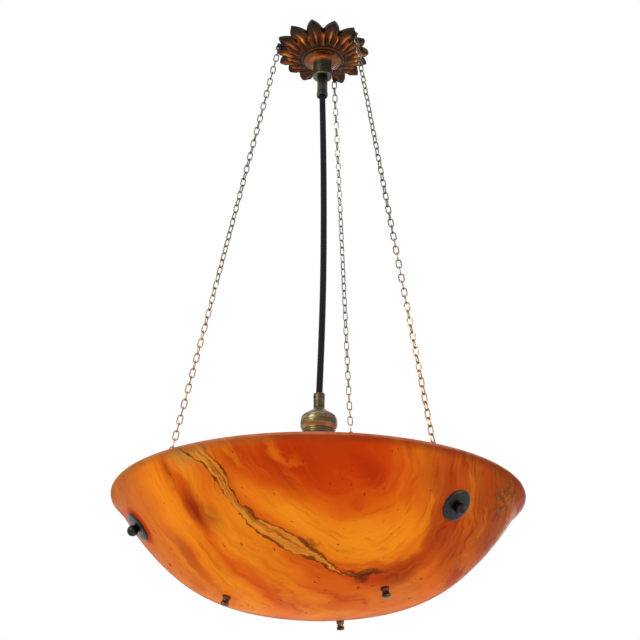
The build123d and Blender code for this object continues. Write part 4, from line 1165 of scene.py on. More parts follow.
def drilling_tree():
    """Cuts rods, placed by the same rule as turned pieces, out of a mesh."""
    tree, given, out = new_shape_tree(
        "Drilled",
        [("Mesh", GEOMETRY, None), ("Hole Radius", FLOAT, 0.0027), ("Hole Length", FLOAT, 0.04), *PLACING],
    )
    drill = add_node(
        tree, "GeometryNodeMeshCylinder",
        {
            "Vertices": DRILL_SIDES, "Radius": given.outputs["Hole Radius"],
            "Depth": given.outputs["Hole Length"],
        },
    )
    rods = placed_copies(tree, given, drill.outputs[0])
    real = add_node(tree, "GeometryNodeRealizeInstances", {"Geometry": rods})
    cut = add_node(tree, "GeometryNodeMeshBoolean", operation="DIFFERENCE")
    tree.links.new(given.outputs["Mesh"], cut.inputs[0])
    tree.links.new(real.outputs[0], cut.inputs[1])
    return end_tree(tree, given, out, cut.outputs[0])


DRILLING = drilling_tree()


def drill_piece(piece, radius, length, finish, **place):
    """Cut holes through a piece, and return the plain result under the same name."""
    name = piece.name
    modifier = piece.modifiers.new("Drilled", "NODES")
    modifier.node_group = DRILLING
    set_inputs(modifier, Hole_Radius=radius * MM, Hole_Length=length * MM, Finish=finish, **place)
    piece.name = name + "_blank"
    return settle(piece, name)


print("drilling tree:", len(DRILLING.nodes), "nodes")

# %% Bowl
BOWL_SEGMENTS = 288
UPPER_HOLE_R, LOWER_HOLE_R, HOLE_LENGTH = 2.7, 2.3, 40.0

bowl = turn_piece("stone_bowl", bowl_outline, alabaster, BOWL_SEGMENTS)
bowl = drill_piece(bowl, UPPER_HOLE_R, HOLE_LENGTH, alabaster, **UPPER)
bowl = drill_piece(bowl, LOWER_HOLE_R, HOLE_LENGTH, alabaster, **LOWER)
keep(bowl, "bowl", "alabaster", "alabaster_bowl")
report(bowl)

# %% [markdown]
# ## Discs, balls and spools
# Outside the bowl each eye bolt ends in a black domed disc with a ball on it. Lower down, three
# short brass spools close the studs. They are turned pieces too, with small rounded corners:
# light catches on a rounded edge, and a knife edge looks like a drawing.

# %% Discs
SEAT, LEATHER_T = 0.1, 1.0
DISC_R, DISC_T, DISC_EDGE_T = 16.0, 2.6, 1.0
BOLT_R, FIT = 2.0, 0.05
disc_face = SEAT + LEATHER_T
ball_face = disc_face + DISC_T

disc_outline = rounded(
    [
        (BOLT_R + FIT, disc_face),
        (DISC_R, disc_face),
        (DISC_R, disc_face + DISC_EDGE_T),
        (DISC_R * 0.9, disc_face + DISC_T * 0.72),
        (DISC_R * 0.72, ball_face - 0.15),
        (DISC_R * 0.66, ball_face - 0.3),
        (DISC_R * 0.6, ball_face - 0.05),
        (BOLT_R + FIT, ball_face),
    ],
    0.35,
)
discs = turn_piece("domed_discs", disc_outline, black_bronze, 72, **UPPER)
keep(discs, "bowl", "black_bronze", "disc_washers")
report(discs)

# %% Balls
BALL_R, BALL_SEAT_R, BALL_BORE_DEPTH, BALL_STEPS = 5.5, 3.4, 1.5, 20
ball_centre = ball_face + sqrt(BALL_R**2 - BALL_SEAT_R**2)

ball_outline = [(BOLT_R + FIT, ball_face), (BALL_SEAT_R, ball_face)]
for index in range(BALL_STEPS):
    turn = radians(-90 + 180 * index / BALL_STEPS)
    height = ball_centre + BALL_R * sin(turn)
    if height > ball_face + 0.2:
        ball_outline.append((BALL_R * cos(turn), height))
bore_end = ball_centre + BALL_BORE_DEPTH
ball_outline += [(0.0, ball_centre + BALL_R), (0.0, bore_end), (BOLT_R + FIT, bore_end)]
balls = turn_piece("ball_ends", ball_outline, black_bronze, 48, **UPPER)
keep(balls, "bowl", "black_bronze", "ball_nuts")
report(balls)

# %% Spools
KNOB_R, KNOB_WAIST_R, KNOB_LENGTH, KNOB_FLANGE, KNOB_SLOPE = 4.25, 3.4, 10.0, 2.8, 0.9
STUD_R = 1.75
knob_low, knob_high = SEAT, SEAT + KNOB_LENGTH
knob_bore_end = knob_high - KNOB_FLANGE + 0.3
knob_outline = rounded(
    [
        (STUD_R + FIT, knob_low),
        (KNOB_R, knob_low),
        (KNOB_R, knob_low + KNOB_FLANGE),
        (KNOB_WAIST_R, knob_low + KNOB_FLANGE + KNOB_SLOPE),
        (KNOB_WAIST_R, knob_high - KNOB_FLANGE - KNOB_SLOPE),
        (KNOB_R, knob_high - KNOB_FLANGE),
        (KNOB_R, knob_high - KNOB_SLOPE),
        (KNOB_R - 1.6, knob_high),
        (0.0, knob_high),
        (0.0, knob_bore_end),
        (STUD_R + FIT, knob_bore_end),
    ],
    0.45,
)
knobs = turn_piece("brass_spools", knob_outline, spool_brass, 48, **LOWER)
keep(knobs, "bowl", "black_bronze", "lower_knobs")
report(knobs)

# %% [markdown]
# ## Chains
# Each chain is 66 fine oval links, every one turned a quarter from the last, and the whole chain
# twists slowly on its way down. The chain's end links turn on other bodies, so the tree takes the
# number of its first link and how many to make, and each run of links becomes one mesh.

# %% Chain tree
CORNER_STEPS, WIRE_SIDES = 3, 6


def chain_tree():
    """Slot-shaped wire links down the line from Top to Low, each turned a quarter from the last."""
    tree, given, out = new_shape_tree(
        "Link chain",
        [
            ("Geometry", GEOMETRY, None),
            ("Top", VECTOR, (0, 0, 0)),
            ("Low", VECTOR, (0, 0, -1)),
            ("Whole Count", WHOLE, 66),
            ("First Link", WHOLE, 0),
            ("Links", WHOLE, 66),
            ("Twist", FLOAT, 1.0),
            ("Wire Radius", FLOAT, 0.0007),
            ("Link Width", FLOAT, 0.0065),
            ("Bar Gap", FLOAT, 0.0015),
            ("Finish", FINISH, None),
        ],
    )
    top, low = given.outputs["Top"], given.outputs["Low"]
    run = vectors(tree, "SUBTRACT", low, top)
    down = vectors(tree, "NORMALIZE", run)
    gap = given.outputs["Bar Gap"]
    spare = maths(tree, "SUBTRACT", vectors(tree, "LENGTH", run), gap)
    pitch = maths(tree, "DIVIDE", spare, given.outputs["Whole Count"])

    # one link: a slot-shaped line with a round wire along it
    half_width = times(tree, given.outputs["Link Width"], 0.5)
    bend = maths(tree, "SUBTRACT", half_width, given.outputs["Wire Radius"])
    slot = add_node(
        tree, "GeometryNodeCurvePrimitiveQuadrilateral",
        {"Width": times(tree, bend, 2.0), "Height": maths(tree, "ADD", pitch, gap)},
    )
    soft = add_node(
        tree, "GeometryNodeFilletCurve",
        {"Curve": slot.outputs[0], "Count": CORNER_STEPS, "Radius": bend, "Limit Radius": True},
        mode="POLY",
    )
    wire = add_node(
        tree, "GeometryNodeCurvePrimitiveCircle",
        {"Resolution": WIRE_SIDES, "Radius": given.outputs["Wire Radius"]},
    )
    link = add_node(
        tree, "GeometryNodeCurveToMesh", {"Curve": soft.outputs[0], "Profile Curve": wire.outputs[0]}
    )
    upright = add_node(
        tree, "GeometryNodeTransform", {"Geometry": link.outputs[0], "Rotation": (pi / 2, 0, 0)}
    )

    # where each link hangs, and which way it faces
    number = maths(tree, "ADD", node_index(tree), given.outputs["First Link"])
    steps = times(tree, pitch, maths(tree, "ADD", number, 0.5))
    reach = maths(tree, "MULTIPLY_ADD", gap, 0.5, steps)
    scaled = add_node(tree, "ShaderNodeVectorMath", {0: down}, operation="SCALE")
    tree.links.new(reach, scaled.inputs["Scale"])
    place = vectors(tree, "ADD", top, scaled.outputs[0])
    points = add_node(
        tree, "GeometryNodePoints", {"Count": given.outputs["Links"], "Position": place}
    )
    share = maths(tree, "DIVIDE", number, maths(tree, "SUBTRACT", given.outputs["Whole Count"], 1.0))
    eased = times(tree, ease(tree, share, 0.0, 1.0), given.outputs["Twist"])
    quarter = times(tree, maths(tree, "FLOORED_MODULO", number, 2.0), pi / 2)
    turn = maths(tree, "ADD", quarter, eased)
    across = vectors(tree, "NORMALIZE", vectors(tree, "CROSS_PRODUCT", (0, 0, 1), down))
    facing = add_node(
        tree, "ShaderNodeVectorRotate",
        {"Vector": across, "Axis": down, "Angle": turn}, rotation_type="AXIS_ANGLE",
    )
    up = vectors(tree, "MULTIPLY", down, (-1, -1, -1))
    rotation = add_node(
        tree, "FunctionNodeAxesToRotation", {0: up, 1: facing.outputs[0]},
        primary_axis="Z", secondary_axis="X",
    )
    copies = add_node(
        tree, "GeometryNodeInstanceOnPoints",
        {"Points": points.outputs[0], "Instance": upright.outputs[0], "Rotation": rotation.outputs[0]},
    )
    return end_tree(tree, given, out, copies.outputs[0])


CHAIN = chain_tree()
print("chain tree:", len(CHAIN.nodes), "nodes")

# %% Chain finish
def make_chain_brass():
    """Brass that is grey near the rose and painted golden further down, where the bowl's light
    reaches it.
    """
    material, tree, shader = new_material("Chain brass")
    place = object_place(tree)
    height = axes(tree, place)["Z"]
    # painted light: the links turn golden further down, where the bowl's glow reaches them
    lower = ease(tree, height, -0.25, -0.52)
    dark = blend(tree, lower, colour_of(46, 42, 34), colour_of(92, 60, 30))
    middle = blend(tree, lower, colour_of(110, 104, 84), colour_of(176, 130, 70))
    light = blend(tree, lower, colour_of(206, 200, 176), colour_of(240, 204, 146))
    skin = use(
        tree, PATINA, Place=place, Dark=dark, Middle=middle, Bright=light, Cloud_Scale=260.0, Wear=0.55
    )
    wear_metal(tree, shader, skin, dark, depth=0.0001)
    return material


chain_brass = make_chain_brass()
print("chain finish:", len(chain_brass.node_tree.nodes), "nodes")

# %% Chains
LINK_WIRE_R, LINK_WIDTH, LINK_COUNT, LINK_GAP = 0.7, 6.5, 66, 0.1
LUG_R, LUG_Z, LUG_EYE_R, LUG_WIRE_R = 53.7, -7.9, 2.7, 1.0
EYE_R, EYE_WIRE_R, EYE_STANDOFF = 3.6, 0.95, 8.6
TOP_PIVOT_GAP, LOW_PIVOT_GAP = 0.3, 0.6
# how far each chain twists on its way down, in degrees
CHAIN_TURNS = {"rear": 90.0, "left": -90.0, "right": 90.0}
# each run: CAD node, body, first link, how many
CHAIN_RUNS = {
    "rear": (("chain_rear_top_link", "rear_top_link", 0, 1), ("chain_rear", "rear_chain_run", 1, 64),
             ("chain_rear_bottom_link", "rear_bottom_link", 65, 1)),
    "left": (("chain_left_top_link", "left_top_link", 0, 1), ("chain_left", "left_chain_run", 1, 65)),
    "right": (("chain_right_top_link", "right_top_link", 0, 1), ("chain_right", "right_chain_run", 1, 65)),
}


print("links:", LINK_COUNT, "on each of", len(CHAIN_RUNS), "chains")

# %% Hang the chains
def chain_ends(number):
    """The centres of the chain's first and last bars, in metres."""
    turn = FIRST_TURN + number * 2 * pi / FIXING_COUNT
    side = Vector((cos(turn), sin(turn), 0))
    lug = side * LUG_R + Vector((0, 0, LUG_Z))
    height, slope = wall_place(UPPER_FIX_R)
    wall = side * UPPER_FIX_R + Vector((0, 0, height))
    normal = side * sin(slope) + Vector((0, 0, -cos(slope)))
    eye = wall - normal * (WALL + EYE_STANDOFF)
    down = (eye - lug).normalized()
    top = lug + down * (LUG_EYE_R - LUG_WIRE_R - TOP_PIVOT_GAP - LINK_WIRE_R)
    low = eye - down * (EYE_R - EYE_WIRE_R - LOW_PIVOT_GAP - LINK_WIRE_R)
    return top * MM, low * MM


def make_run(name, body, number, first, count, twist):
    """One run of links as a plain mesh that rides its body."""
    holder = add_object("links", bpy.data.meshes.new("links"))
    modifier = holder.modifiers.new("Link chain", "NODES")
    modifier.node_group = CHAIN
    top, low = chain_ends(number)
    set_inputs(
        modifier, Top=tuple(top), Low=tuple(low), Whole_Count=LINK_COUNT, First_Link=first,
        Links=count, Twist=radians(twist), Wire_Radius=LINK_WIRE_R * MM,
        Link_Width=LINK_WIDTH * MM, Bar_Gap=(2 * LINK_WIRE_R + LINK_GAP) * MM, Finish=chain_brass,
    )
    piece = settle(holder, name.replace("chain_", "links_"), 60.0)
    return keep(piece, body, "chain_brass", name)


for number, (side, runs) in enumerate(CHAIN_RUNS.items()):
    for name, body, first, count in runs:
        report(make_run(name, body, number, first, count, CHAIN_TURNS[side]))

# %% [markdown]
# ## Rose
# The rose is one brass casting: a ring of fifteen pointed leaves over a shallow hollow dome. A
# sculptor would cut it as relief, so it is made as relief: a round grid of points whose rim follows
# the leaves' outline, and whose height is the sum of simple forms: the cone of the body, a rib and
# two rolled edges on each leaf, a notch between leaves, and an inner ring of short tongues.

# %% Leaf outline
LEAF_TURN, LEAF_ROOT_R, LEAF_HALF_WIDTH = -8.0, 46.5, 0.40
LEAF_REACH = (61, 62, 56, 53, 54, 55, 60, 64, 66, 64, 62, 57, 55, 56, 58)
LEAF_COUNT = len(LEAF_REACH)
LEAF_PITCH = 2 * pi / LEAF_COUNT
FIRST_LEAF = FIRST_TURN + radians(LEAF_TURN)


def arc_through(a, b, c, count=24):
    """Points on the circle through three points in the plane."""
    (ax, ay), (bx, by), (cx, cy) = a, b, c
    d = 2 * (ax * (by - cy) + bx * (cy - ay) + cx * (ay - by))
    aa, bb, cc = ax * ax + ay * ay, bx * bx + by * by, cx * cx + cy * cy
    ux = (aa * (by - cy) + bb * (cy - ay) + cc * (ay - by)) / d
    uy = (aa * (cx - bx) + bb * (ax - cx) + cc * (bx - ax)) / d
    start, end = atan2(ay - uy, ax - ux), atan2(cy - uy, cx - ux)
    sweep = (end - start + pi) % (2 * pi) - pi
    reach = sqrt((ax - ux) ** 2 + (ay - uy) ** 2)
    turns = [start + sweep * i / count for i in range(count + 1)]
    return [(ux + reach * cos(turn), uy + reach * sin(turn)) for turn in turns]


def leaf_rim(reach):
    """Radius of one leaf's outline against the angle from its middle."""
    half = LEAF_PITCH / 2
    swell_turn = LEAF_PITCH * LEAF_HALF_WIDTH * 0.78
    swell_r = (LEAF_ROOT_R + reach) / 2
    places = [(LEAF_ROOT_R, half), (swell_r, swell_turn), (reach, 0.0)]
    flat = [(r * cos(t), r * sin(t)) for r, t in places]
    arc = arc_through(*flat)
    turns = np.array([atan2(y, x) for x, y in arc])
    radii = np.array([sqrt(x * x + y * y) for x, y in arc])
    order = np.argsort(turns)
    return turns[order], radii[order]


RIMS = [leaf_rim(reach) for reach in LEAF_REACH]
print("leaves:", LEAF_COUNT, "that reach", min(LEAF_REACH), "to", max(LEAF_REACH), "mm")

# %% Rose relief
def bell(value, width):
    return np.exp(-((value / width) ** 2))


def step_up(value, low, high):
    t = np.clip((value - low) / (high - low), 0, 1)
    return t * t * (3 - 2 * t)


def rose_relief(radius, across, leaf, rim):
    """How far the casting stands out below its plain form, in mm.
    across is -1 to 1 over a leaf, leaf its number, and rim the outline's radius there."""
    lean = 0.12 * np.sin(leaf * 2.1)
    swell = 1.0 + 0.25 * np.sin(leaf * 3.7 + 1)
    side, between = np.abs(across), 1 - np.abs(across)
    out = step_up(radius, 33, 42)
    tip = 1 - step_up(radius / np.maximum(rim, 1), 0.84, 1.0)
    middle = across - lean * step_up(radius, 35, 60)
    body = 2.0 * swell * (1 - side**2) * out
    rib = 1.7 * bell(middle, 0.13) * step_up(radius, 29, 36) * tip
    furrow = -1.1 * bell(np.abs(middle) - 0.33, 0.10) * step_up(radius, 30, 36) * tip
    rolled = 0.9 * swell * bell(side - 0.66, 0.13) * step_up(radius, 44, 48) * (1 - step_up(radius, 54, 60))
    notch = -2.6 * bell(between, 0.12) * step_up(radius, 46, 49)
    tongue_end = 44.5 + 2.2 * np.sin(leaf * 2.4)
    uneven = 0.65 + 0.35 * np.sin(leaf * 5.3 + np.sign(across))
    tongue = 2.7 * bell(between, 0.24 + 0.05 * np.sin(leaf * 4.1)) * step_up(radius, 26, 31)
    tongue = tongue * (1 - step_up(radius, tongue_end - 2, tongue_end)) * uneven
    beside = -1.5 * uneven * bell(side - 0.60, 0.10) * step_up(radius, 27, 32)
    beside = beside * (1 - step_up(radius, 48, 52))
    bead = 1.5 * bell(radius - tongue_end + 3.2, 2.0) * bell(between, 0.22)
    scratch = 0.05 * np.sin(across * 31 + radius * 0.6 + leaf) * out
    ring = 0.8 * bell(radius - 24.6, 0.8) - 0.8 * bell(radius - 26.3, 0.6)
    curl = (swell - 1.0) * 3.0 * step_up(radius, 46, 62) - 1.8 * (1 - tip)
    return body + rib + furrow + rolled + notch + tongue + beside + bead + scratch + ring + curl

# %% Rose
ROSE_BODY_R, ROSE_FLOOR_R, ROSE_DEPTH, ROSE_EDGE_DEPTH = 44.0, 22.0, 15.4, 7.5
ROSE_BEND_R, ROSE_BEND_DEPTH, ROSE_WALL, LEAF_T = 33.0, 13.2, 2.0, 4.0
TUBE_R, TUBE_GAP, LEAF_BACK_R = 5.0, 0.3, 47.5
LEAF_COLUMNS, ROSE_ROWS, ROW_CROWDING = 36, 84, 0.9
ROSE_COLUMNS = LEAF_COUNT * LEAF_COLUMNS
rose_hole_r = TUBE_R + TUBE_GAP
leaf_top = -ROSE_EDGE_DEPTH + LEAF_T


def rose_under(turns):
    """The seen underside: points in mm, the relief at each, and the rim's radius."""
    columns = np.arange(ROSE_COLUMNS)
    across = (columns % LEAF_COLUMNS) / LEAF_COLUMNS * 2 - 1
    leaf = columns // LEAF_COLUMNS
    rim = np.array([np.interp(abs(a) * LEAF_PITCH / 2, *RIMS[k]) for a, k in zip(across, leaf)])
    share = (np.arange(ROSE_ROWS) / (ROSE_ROWS - 1)) ** ROW_CROWDING
    radius = rose_hole_r + (rim[None, :] - rose_hole_r) * share[:, None]
    form = np.interp(
        radius, (ROSE_FLOOR_R, ROSE_BEND_R, ROSE_BODY_R), (ROSE_DEPTH, ROSE_BEND_DEPTH, ROSE_EDGE_DEPTH)
    )
    leaves = leaf[None, :] * np.ones_like(radius, int)
    relief = rose_relief(radius, across[None, :], leaves, rim[None, :])
    relief *= step_up(radius, ROSE_FLOOR_R + 0.5, ROSE_FLOOR_R + 2.5)
    points = np.stack([radius * np.cos(turns), radius * np.sin(turns), -(form + relief)], -1)
    return points, relief, rim


def rose_back(rim, rim_low):
    """Radius and height of each ring over the edge, along the leaves' backs, and round the
    hollow inside to the hole in the middle."""
    return [
        (rim - 0.35, rim_low + 0.7), (rim - 0.25, (rim_low + leaf_top) / 2), (rim - 0.7, leaf_top),
        (np.minimum(rim - 1.2, LEAF_BACK_R), leaf_top), (ROSE_BODY_R, leaf_top), (ROSE_BODY_R, -0.2),
        (ROSE_BODY_R - 0.3, 0.0), (ROSE_BODY_R - ROSE_WALL + 0.3, 0.0), (ROSE_BODY_R - ROSE_WALL, -0.3),
        (ROSE_BODY_R - ROSE_WALL, -ROSE_EDGE_DEPTH + ROSE_WALL),
        (ROSE_BEND_R, -ROSE_BEND_DEPTH + ROSE_WALL),
        (ROSE_FLOOR_R, -ROSE_DEPTH + ROSE_WALL), (rose_hole_r, -ROSE_DEPTH + ROSE_WALL),
    ]


def make_rose():
    """The casting as one closed grid of rings, with the relief kept as an attribute."""
    turns = FIRST_LEAF - LEAF_PITCH / 2 + 2 * pi * np.arange(ROSE_COLUMNS) / ROSE_COLUMNS
    under, relief, rim = rose_under(turns)
    rows = [under]
    for r, z in rose_back(rim, under[-1, :, 2]):
        r, z = r * np.ones(ROSE_COLUMNS), z * np.ones(ROSE_COLUMNS)
        rows.append(np.stack([r * np.cos(turns), r * np.sin(turns), z], -1)[None])
    grid = np.concatenate(rows) * MM
    count = grid.shape[0]
    faces = []
    for row in range(count):
        below = (row + 1) % count
        for column in range(ROSE_COLUMNS):
            beside = (column + 1) % ROSE_COLUMNS
            faces.append((row * ROSE_COLUMNS + column, row * ROSE_COLUMNS + beside,
                          below * ROSE_COLUMNS + beside, below * ROSE_COLUMNS + column))
    mesh = bpy.data.meshes.new("leaf_rose")
    verts = grid.reshape(-1, 3)
    mesh.from_pydata(verts.tolist(), [], faces)
    crest = np.zeros(len(verts), np.float32)
    crest[: relief.size] = relief.ravel()
    mesh.attributes.new("relief", "FLOAT", "POINT").data.foreach_set("value", crest)
    finish_mesh(mesh, 60.0)
    return add_object("leaf_rose", mesh)


rose = make_rose()
report(rose)

# %% Rose finish
GILT = (
    (0.0, colour_of(26, 16, 9)),
    (0.28, colour_of(60, 34, 17)),
    (0.50, colour_of(100, 55, 24)),
    (0.70, colour_of(142, 76, 30)),
    (0.86, colour_of(184, 112, 44)),
    (1.0, colour_of(226, 170, 80)),
)
LEAF_TIP_SHADE, GREENED, GILT_EDGE_SHADE, GILT_FAR_SHADE = (
    colour_of(26, 26, 16), colour_of(70, 56, 26), colour_of(24, 18, 12), colour_of(70, 40, 20)
)
ROSE_LIGHT, ROSE_GLOW = colour_of(160, 56, 12), 0.45


def make_rose_brass():
    """Dark gilt: black in the notches, brown on the flats, gold on the ribs and beads, where the gold
    is partly rubbed gilt and partly painted highlight. Painted shade darkens the leaf tips, the
    faces seen edge on and the far half. The bowl below throws its orange light on the near side."""
    material, tree, shader = new_material("Gilt rose")
    place = object_place(tree)
    parts = axes(tree, place)
    out = from_axis(tree, place)
    relief = add_node(tree, "ShaderNodeAttribute", attribute_name="relief").outputs["Fac"]
    grain = noise(tree, place, 240.0, 4.0, 0.6).outputs[0]
    # colour by relief: dark in the notches, gold on the ribs and beads; that gold is partly rubbed gilt and
    # partly painted highlight
    worn = maths(tree, "MULTIPLY_ADD", grain, 2.0, maths(tree, "SUBTRACT", relief, 1.0))
    colour = ramp(tree, maths(tree, "MULTIPLY_ADD", worn, 0.17, 0.30), GILT)
    # painted shade: the leaf tips, turned outwards, go dark
    colour = blend(tree, ease(tree, out, 0.045, 0.056, 0.0, 0.88), colour, LEAF_TIP_SHADE)
    clouds = noise(tree, place, 60.0, 3.0, 0.5).outputs[0]
    colour = blend(tree, ease(tree, clouds, 0.46, 0.66, 0.0, 0.6), colour, GREENED)
    # painted shade: faces seen edge on go dark
    edge_on = ease(tree, turned_away(tree), 0.5, 0.95, 0.0, 0.7)
    colour = blend(tree, edge_on, colour, GILT_EDGE_SHADE)
    # painted shade: the far half of the rose is browner and darker
    colour = blend(tree, ease(tree, parts["Y"], 0.0, 0.030, 0.0, 0.75), colour, GILT_FAR_SHADE)
    tree.links.new(colour, shader.inputs["Base Color"])

    # the bowl's light, on the ribs of the near side
    near_side = ease(tree, parts["Y"], 0.045, 0.0)
    close = times(tree, ease(tree, out, 0.052, 0.034), near_side)
    glow = blend(tree, times(tree, ease(tree, relief, 0.8, 2.8), close), NO_LIGHT, ROSE_LIGHT)
    tree.links.new(glow, shader.inputs["Emission Color"])
    shader.inputs["Emission Strength"].default_value = ROSE_GLOW
    far_dull = ease(tree, parts["Y"], 0.0, 0.03, 0.0, 0.8)
    dull = maths(tree, "MAXIMUM", ease(tree, grain, 0.3, 0.7, 0.56, 0.4), far_dull)
    tree.links.new(dull, shader.inputs["Roughness"])
    shader.inputs["Metallic"].default_value = 0.8
    bump(tree, shader, grain, 0.1, 0.0001)
    return material


rose_brass = make_rose_brass()
rose.data.materials.append(rose_brass)
keep(rose, "ceiling_fitting", "cast_brass", "ceiling_rose")
print("rose finish:", len(rose_brass.node_tree.nodes), "nodes")

# %% Chain lugs
LUG_STEPS, LUG_SIDES = 28, 12
BOSS_LENGTH, BOSS_WIDTH, BOSS_HEIGHT, BOSS_IN, BOSS_Z = 8.4, 5.6, 2.4, 2.2, -3.9


def add_eye(work, centre, along):
    """Add a ring to a bmesh: its axis is level, across the direction along."""
    up = Vector((0, 0, 1))
    level = Vector((-along.y, along.x, 0))
    rings = []
    for i in range(LUG_STEPS):
        turn = 2 * pi * i / LUG_STEPS
        out = along * cos(turn) + up * sin(turn)
        ring = []
        for j in range(LUG_SIDES):
            way = 2 * pi * j / LUG_SIDES
            place = out * (LUG_EYE_R + LUG_WIRE_R * cos(way)) + level * LUG_WIRE_R * sin(way)
            ring.append(work.verts.new((centre + place) * MM))
        rings.append(ring)
    for i in range(LUG_STEPS):
        for j in range(LUG_SIDES):
            a, b = rings[i], rings[(i + 1) % LUG_STEPS]
            work.faces.new((a[j], a[(j + 1) % LUG_SIDES], b[(j + 1) % LUG_SIDES], b[j]))


def add_boss(work, side):
    """Add the block that carries an eye under its leaf."""
    across = Vector((-side.y, side.x, 0))
    for vertex in bmesh.ops.create_cube(work, size=1.0)["verts"]:
        x, y, z = vertex.co
        place = side * (LUG_R - BOSS_IN + x * BOSS_LENGTH) + across * (y * BOSS_WIDTH)
        vertex.co = (place + Vector((0, 0, BOSS_Z + z * BOSS_HEIGHT))) * MM


def make_lugs():
    """Three eyes on small bosses under the leaf tips."""
    work = bmesh.new()
    for number in range(FIXING_COUNT):
        turn = FIRST_TURN + number * 2 * pi / FIXING_COUNT
        side = Vector((cos(turn), sin(turn), 0))
        add_eye(work, side * LUG_R + Vector((0, 0, LUG_Z)), side)
        add_boss(work, side)
    mesh = bpy.data.meshes.new("rose_lugs")
    work.to_mesh(mesh)
    work.free()
    finish_mesh(mesh, 50.0)
    mesh.materials.append(dark_brass)
    return add_object("rose_lugs", mesh)


lugs = make_lugs()
keep(lugs, "ceiling_fitting", "cast_brass")
report(lugs)

# %% [markdown]
# ## Centre plate, cup and cord grip
# Under the rose a stepped plate, a deep cup and a tube lead the cord out. They are turned brass,
# so they use the turning tree again with finer outlines than the CAD solids have.

# %% Plate finish
PLATE_DARK, PLATE_MIDDLE, PLATE_BRIGHT, PLATE_EDGE_SHADE = (
    colour_of(52, 28, 14), colour_of(116, 66, 30), colour_of(178, 104, 46), colour_of(60, 34, 18)
)
PLATE_LIGHT, PLATE_GLOW = colour_of(250, 116, 34), 0.5


def make_plate_copper():
    """Coppery lacquer that the bowl lights orange close to the cup."""
    material, tree, shader = new_material("Plate copper")
    place = object_place(tree)
    parts = axes(tree, place)
    skin = use(
        tree, PATINA, Place=place, Dark=PLATE_DARK, Middle=PLATE_MIDDLE, Bright=PLATE_BRIGHT,
        Cloud_Scale=40.0, Wear=0.5,
    )
    # painted shade: the plate goes darker where it is seen edge on
    wear_metal(tree, shader, skin, PLATE_EDGE_SHADE, coat=0.05, depth=0.00004, strength=0.05)
    close = ease(tree, from_axis(tree, place), 0.0175, 0.0120)
    arc = times(
        tree, close, ease(tree, parts["Y"], 0.004, -0.012), ease(tree, parts["X"], 0.012, -0.002, 0.35, 1.0)
    )
    tree.links.new(blend(tree, arc, NO_LIGHT, PLATE_LIGHT), shader.inputs["Emission Color"])
    shader.inputs["Emission Strength"].default_value = PLATE_GLOW
    return material


plate_copper = make_plate_copper()
print("plate finish:", len(plate_copper.node_tree.nodes), "nodes")

# %% Plate, cup and upper grip
PLATE_R, PLATE_T, PLATE_FLAT_R = 22.0, 3.0, 15.0
CUP_R, CUP_LENGTH = 11.45, 21.3
GRIP_R, GRIP_MOUTH_R, GRIP_LENGTH, GRIP_SPIGOT = 6.15, 6.6, 26.8, 4.6
CORD_BORE_R, GRIP_LIP_R, PIVOT_Z = 3.8, 4.6, -60.0
SCREW_HOLE_R, SCREW_HOLE_LENGTH, SCREW_OUT, UPPER_SCREW_TURN, UPPER_SCREW_Z = 1.55, 8.0, 6.0, 90.0, -50.0
plate_low = -ROSE_DEPTH - PLATE_T
cup_low = plate_low - CUP_LENGTH
grip_low = cup_low - GRIP_LENGTH

plate_outline = rounded(
    [
        (TUBE_R + FIT, -ROSE_DEPTH), (PLATE_R, -ROSE_DEPTH), (PLATE_R, -ROSE_DEPTH - 1.1),
        (PLATE_R - 1.4, -ROSE_DEPTH - 1.5), (PLATE_R - 3.2, -ROSE_DEPTH - 1.6),
        (PLATE_FLAT_R + 1.2, plate_low + 0.5), (PLATE_FLAT_R - 1.5, plate_low), (TUBE_R + FIT, plate_low),
    ],
    0.5,
)
cup_outline = rounded(
    [
        (TUBE_R + FIT, plate_low), (CUP_R, plate_low), (CUP_R, plate_low - 1.2),
        (CUP_R - 0.35, plate_low - 1.7), (CUP_R - 0.35, cup_low + 3.2), (CUP_R, cup_low + 2.6),
        (CUP_R, cup_low + 0.9), (CUP_R - 0.9, cup_low), (TUBE_R + FIT, cup_low),
    ],
    0.4,
)
grip_outline = rounded(
    [
        (CORD_BORE_R, cup_low + GRIP_SPIGOT), (TUBE_R, cup_low + GRIP_SPIGOT), (TUBE_R, cup_low),
        (GRIP_R, cup_low), (GRIP_R, grip_low + 6.4), (GRIP_MOUTH_R, grip_low + 5.2),
        (GRIP_MOUTH_R, grip_low + 0.6), (GRIP_MOUTH_R - 0.6, grip_low),
        (GRIP_LIP_R, grip_low), (CORD_BORE_R, PIVOT_Z),
    ],
    0.35,
)


def screw_hole(turn, height):
    """Where one set screw enters a grip tube."""
    return {
        "Copies": 1, "First_Turn": radians(turn), "Tilt": pi / 2, "Out": SCREW_OUT * MM, "Up": height * MM,
    }


plate = turn_piece("centre_plate", plate_outline, plate_copper)
keep(plate, "ceiling_fitting", "antique_brass", "rose_centre_plate")
cup = turn_piece("brass_cup", cup_outline, antique_brass)
keep(cup, "ceiling_fitting", "antique_brass", "rose_cup")
grip = turn_piece("upper_grip_tube", grip_outline, dark_brass, 64)
upper_hole = screw_hole(UPPER_SCREW_TURN, UPPER_SCREW_Z)
grip = drill_piece(grip, SCREW_HOLE_R, SCREW_HOLE_LENGTH, dark_brass, **upper_hole)
keep(grip, "ceiling_fitting", "antique_brass", "upper_cord_grip")
for piece in (plate, cup, grip):
    report(piece)

# %% [markdown]
# ## Lampholder
# The lampholder is the old brass kind: a tube that grips the cord, a cap like a small ogee roof,
# a threaded skirt, and a ring that screws up the skirt to hold a shade. Fine grooves in the ring
# and skirt catch lines of light, so their outlines dip at each one.

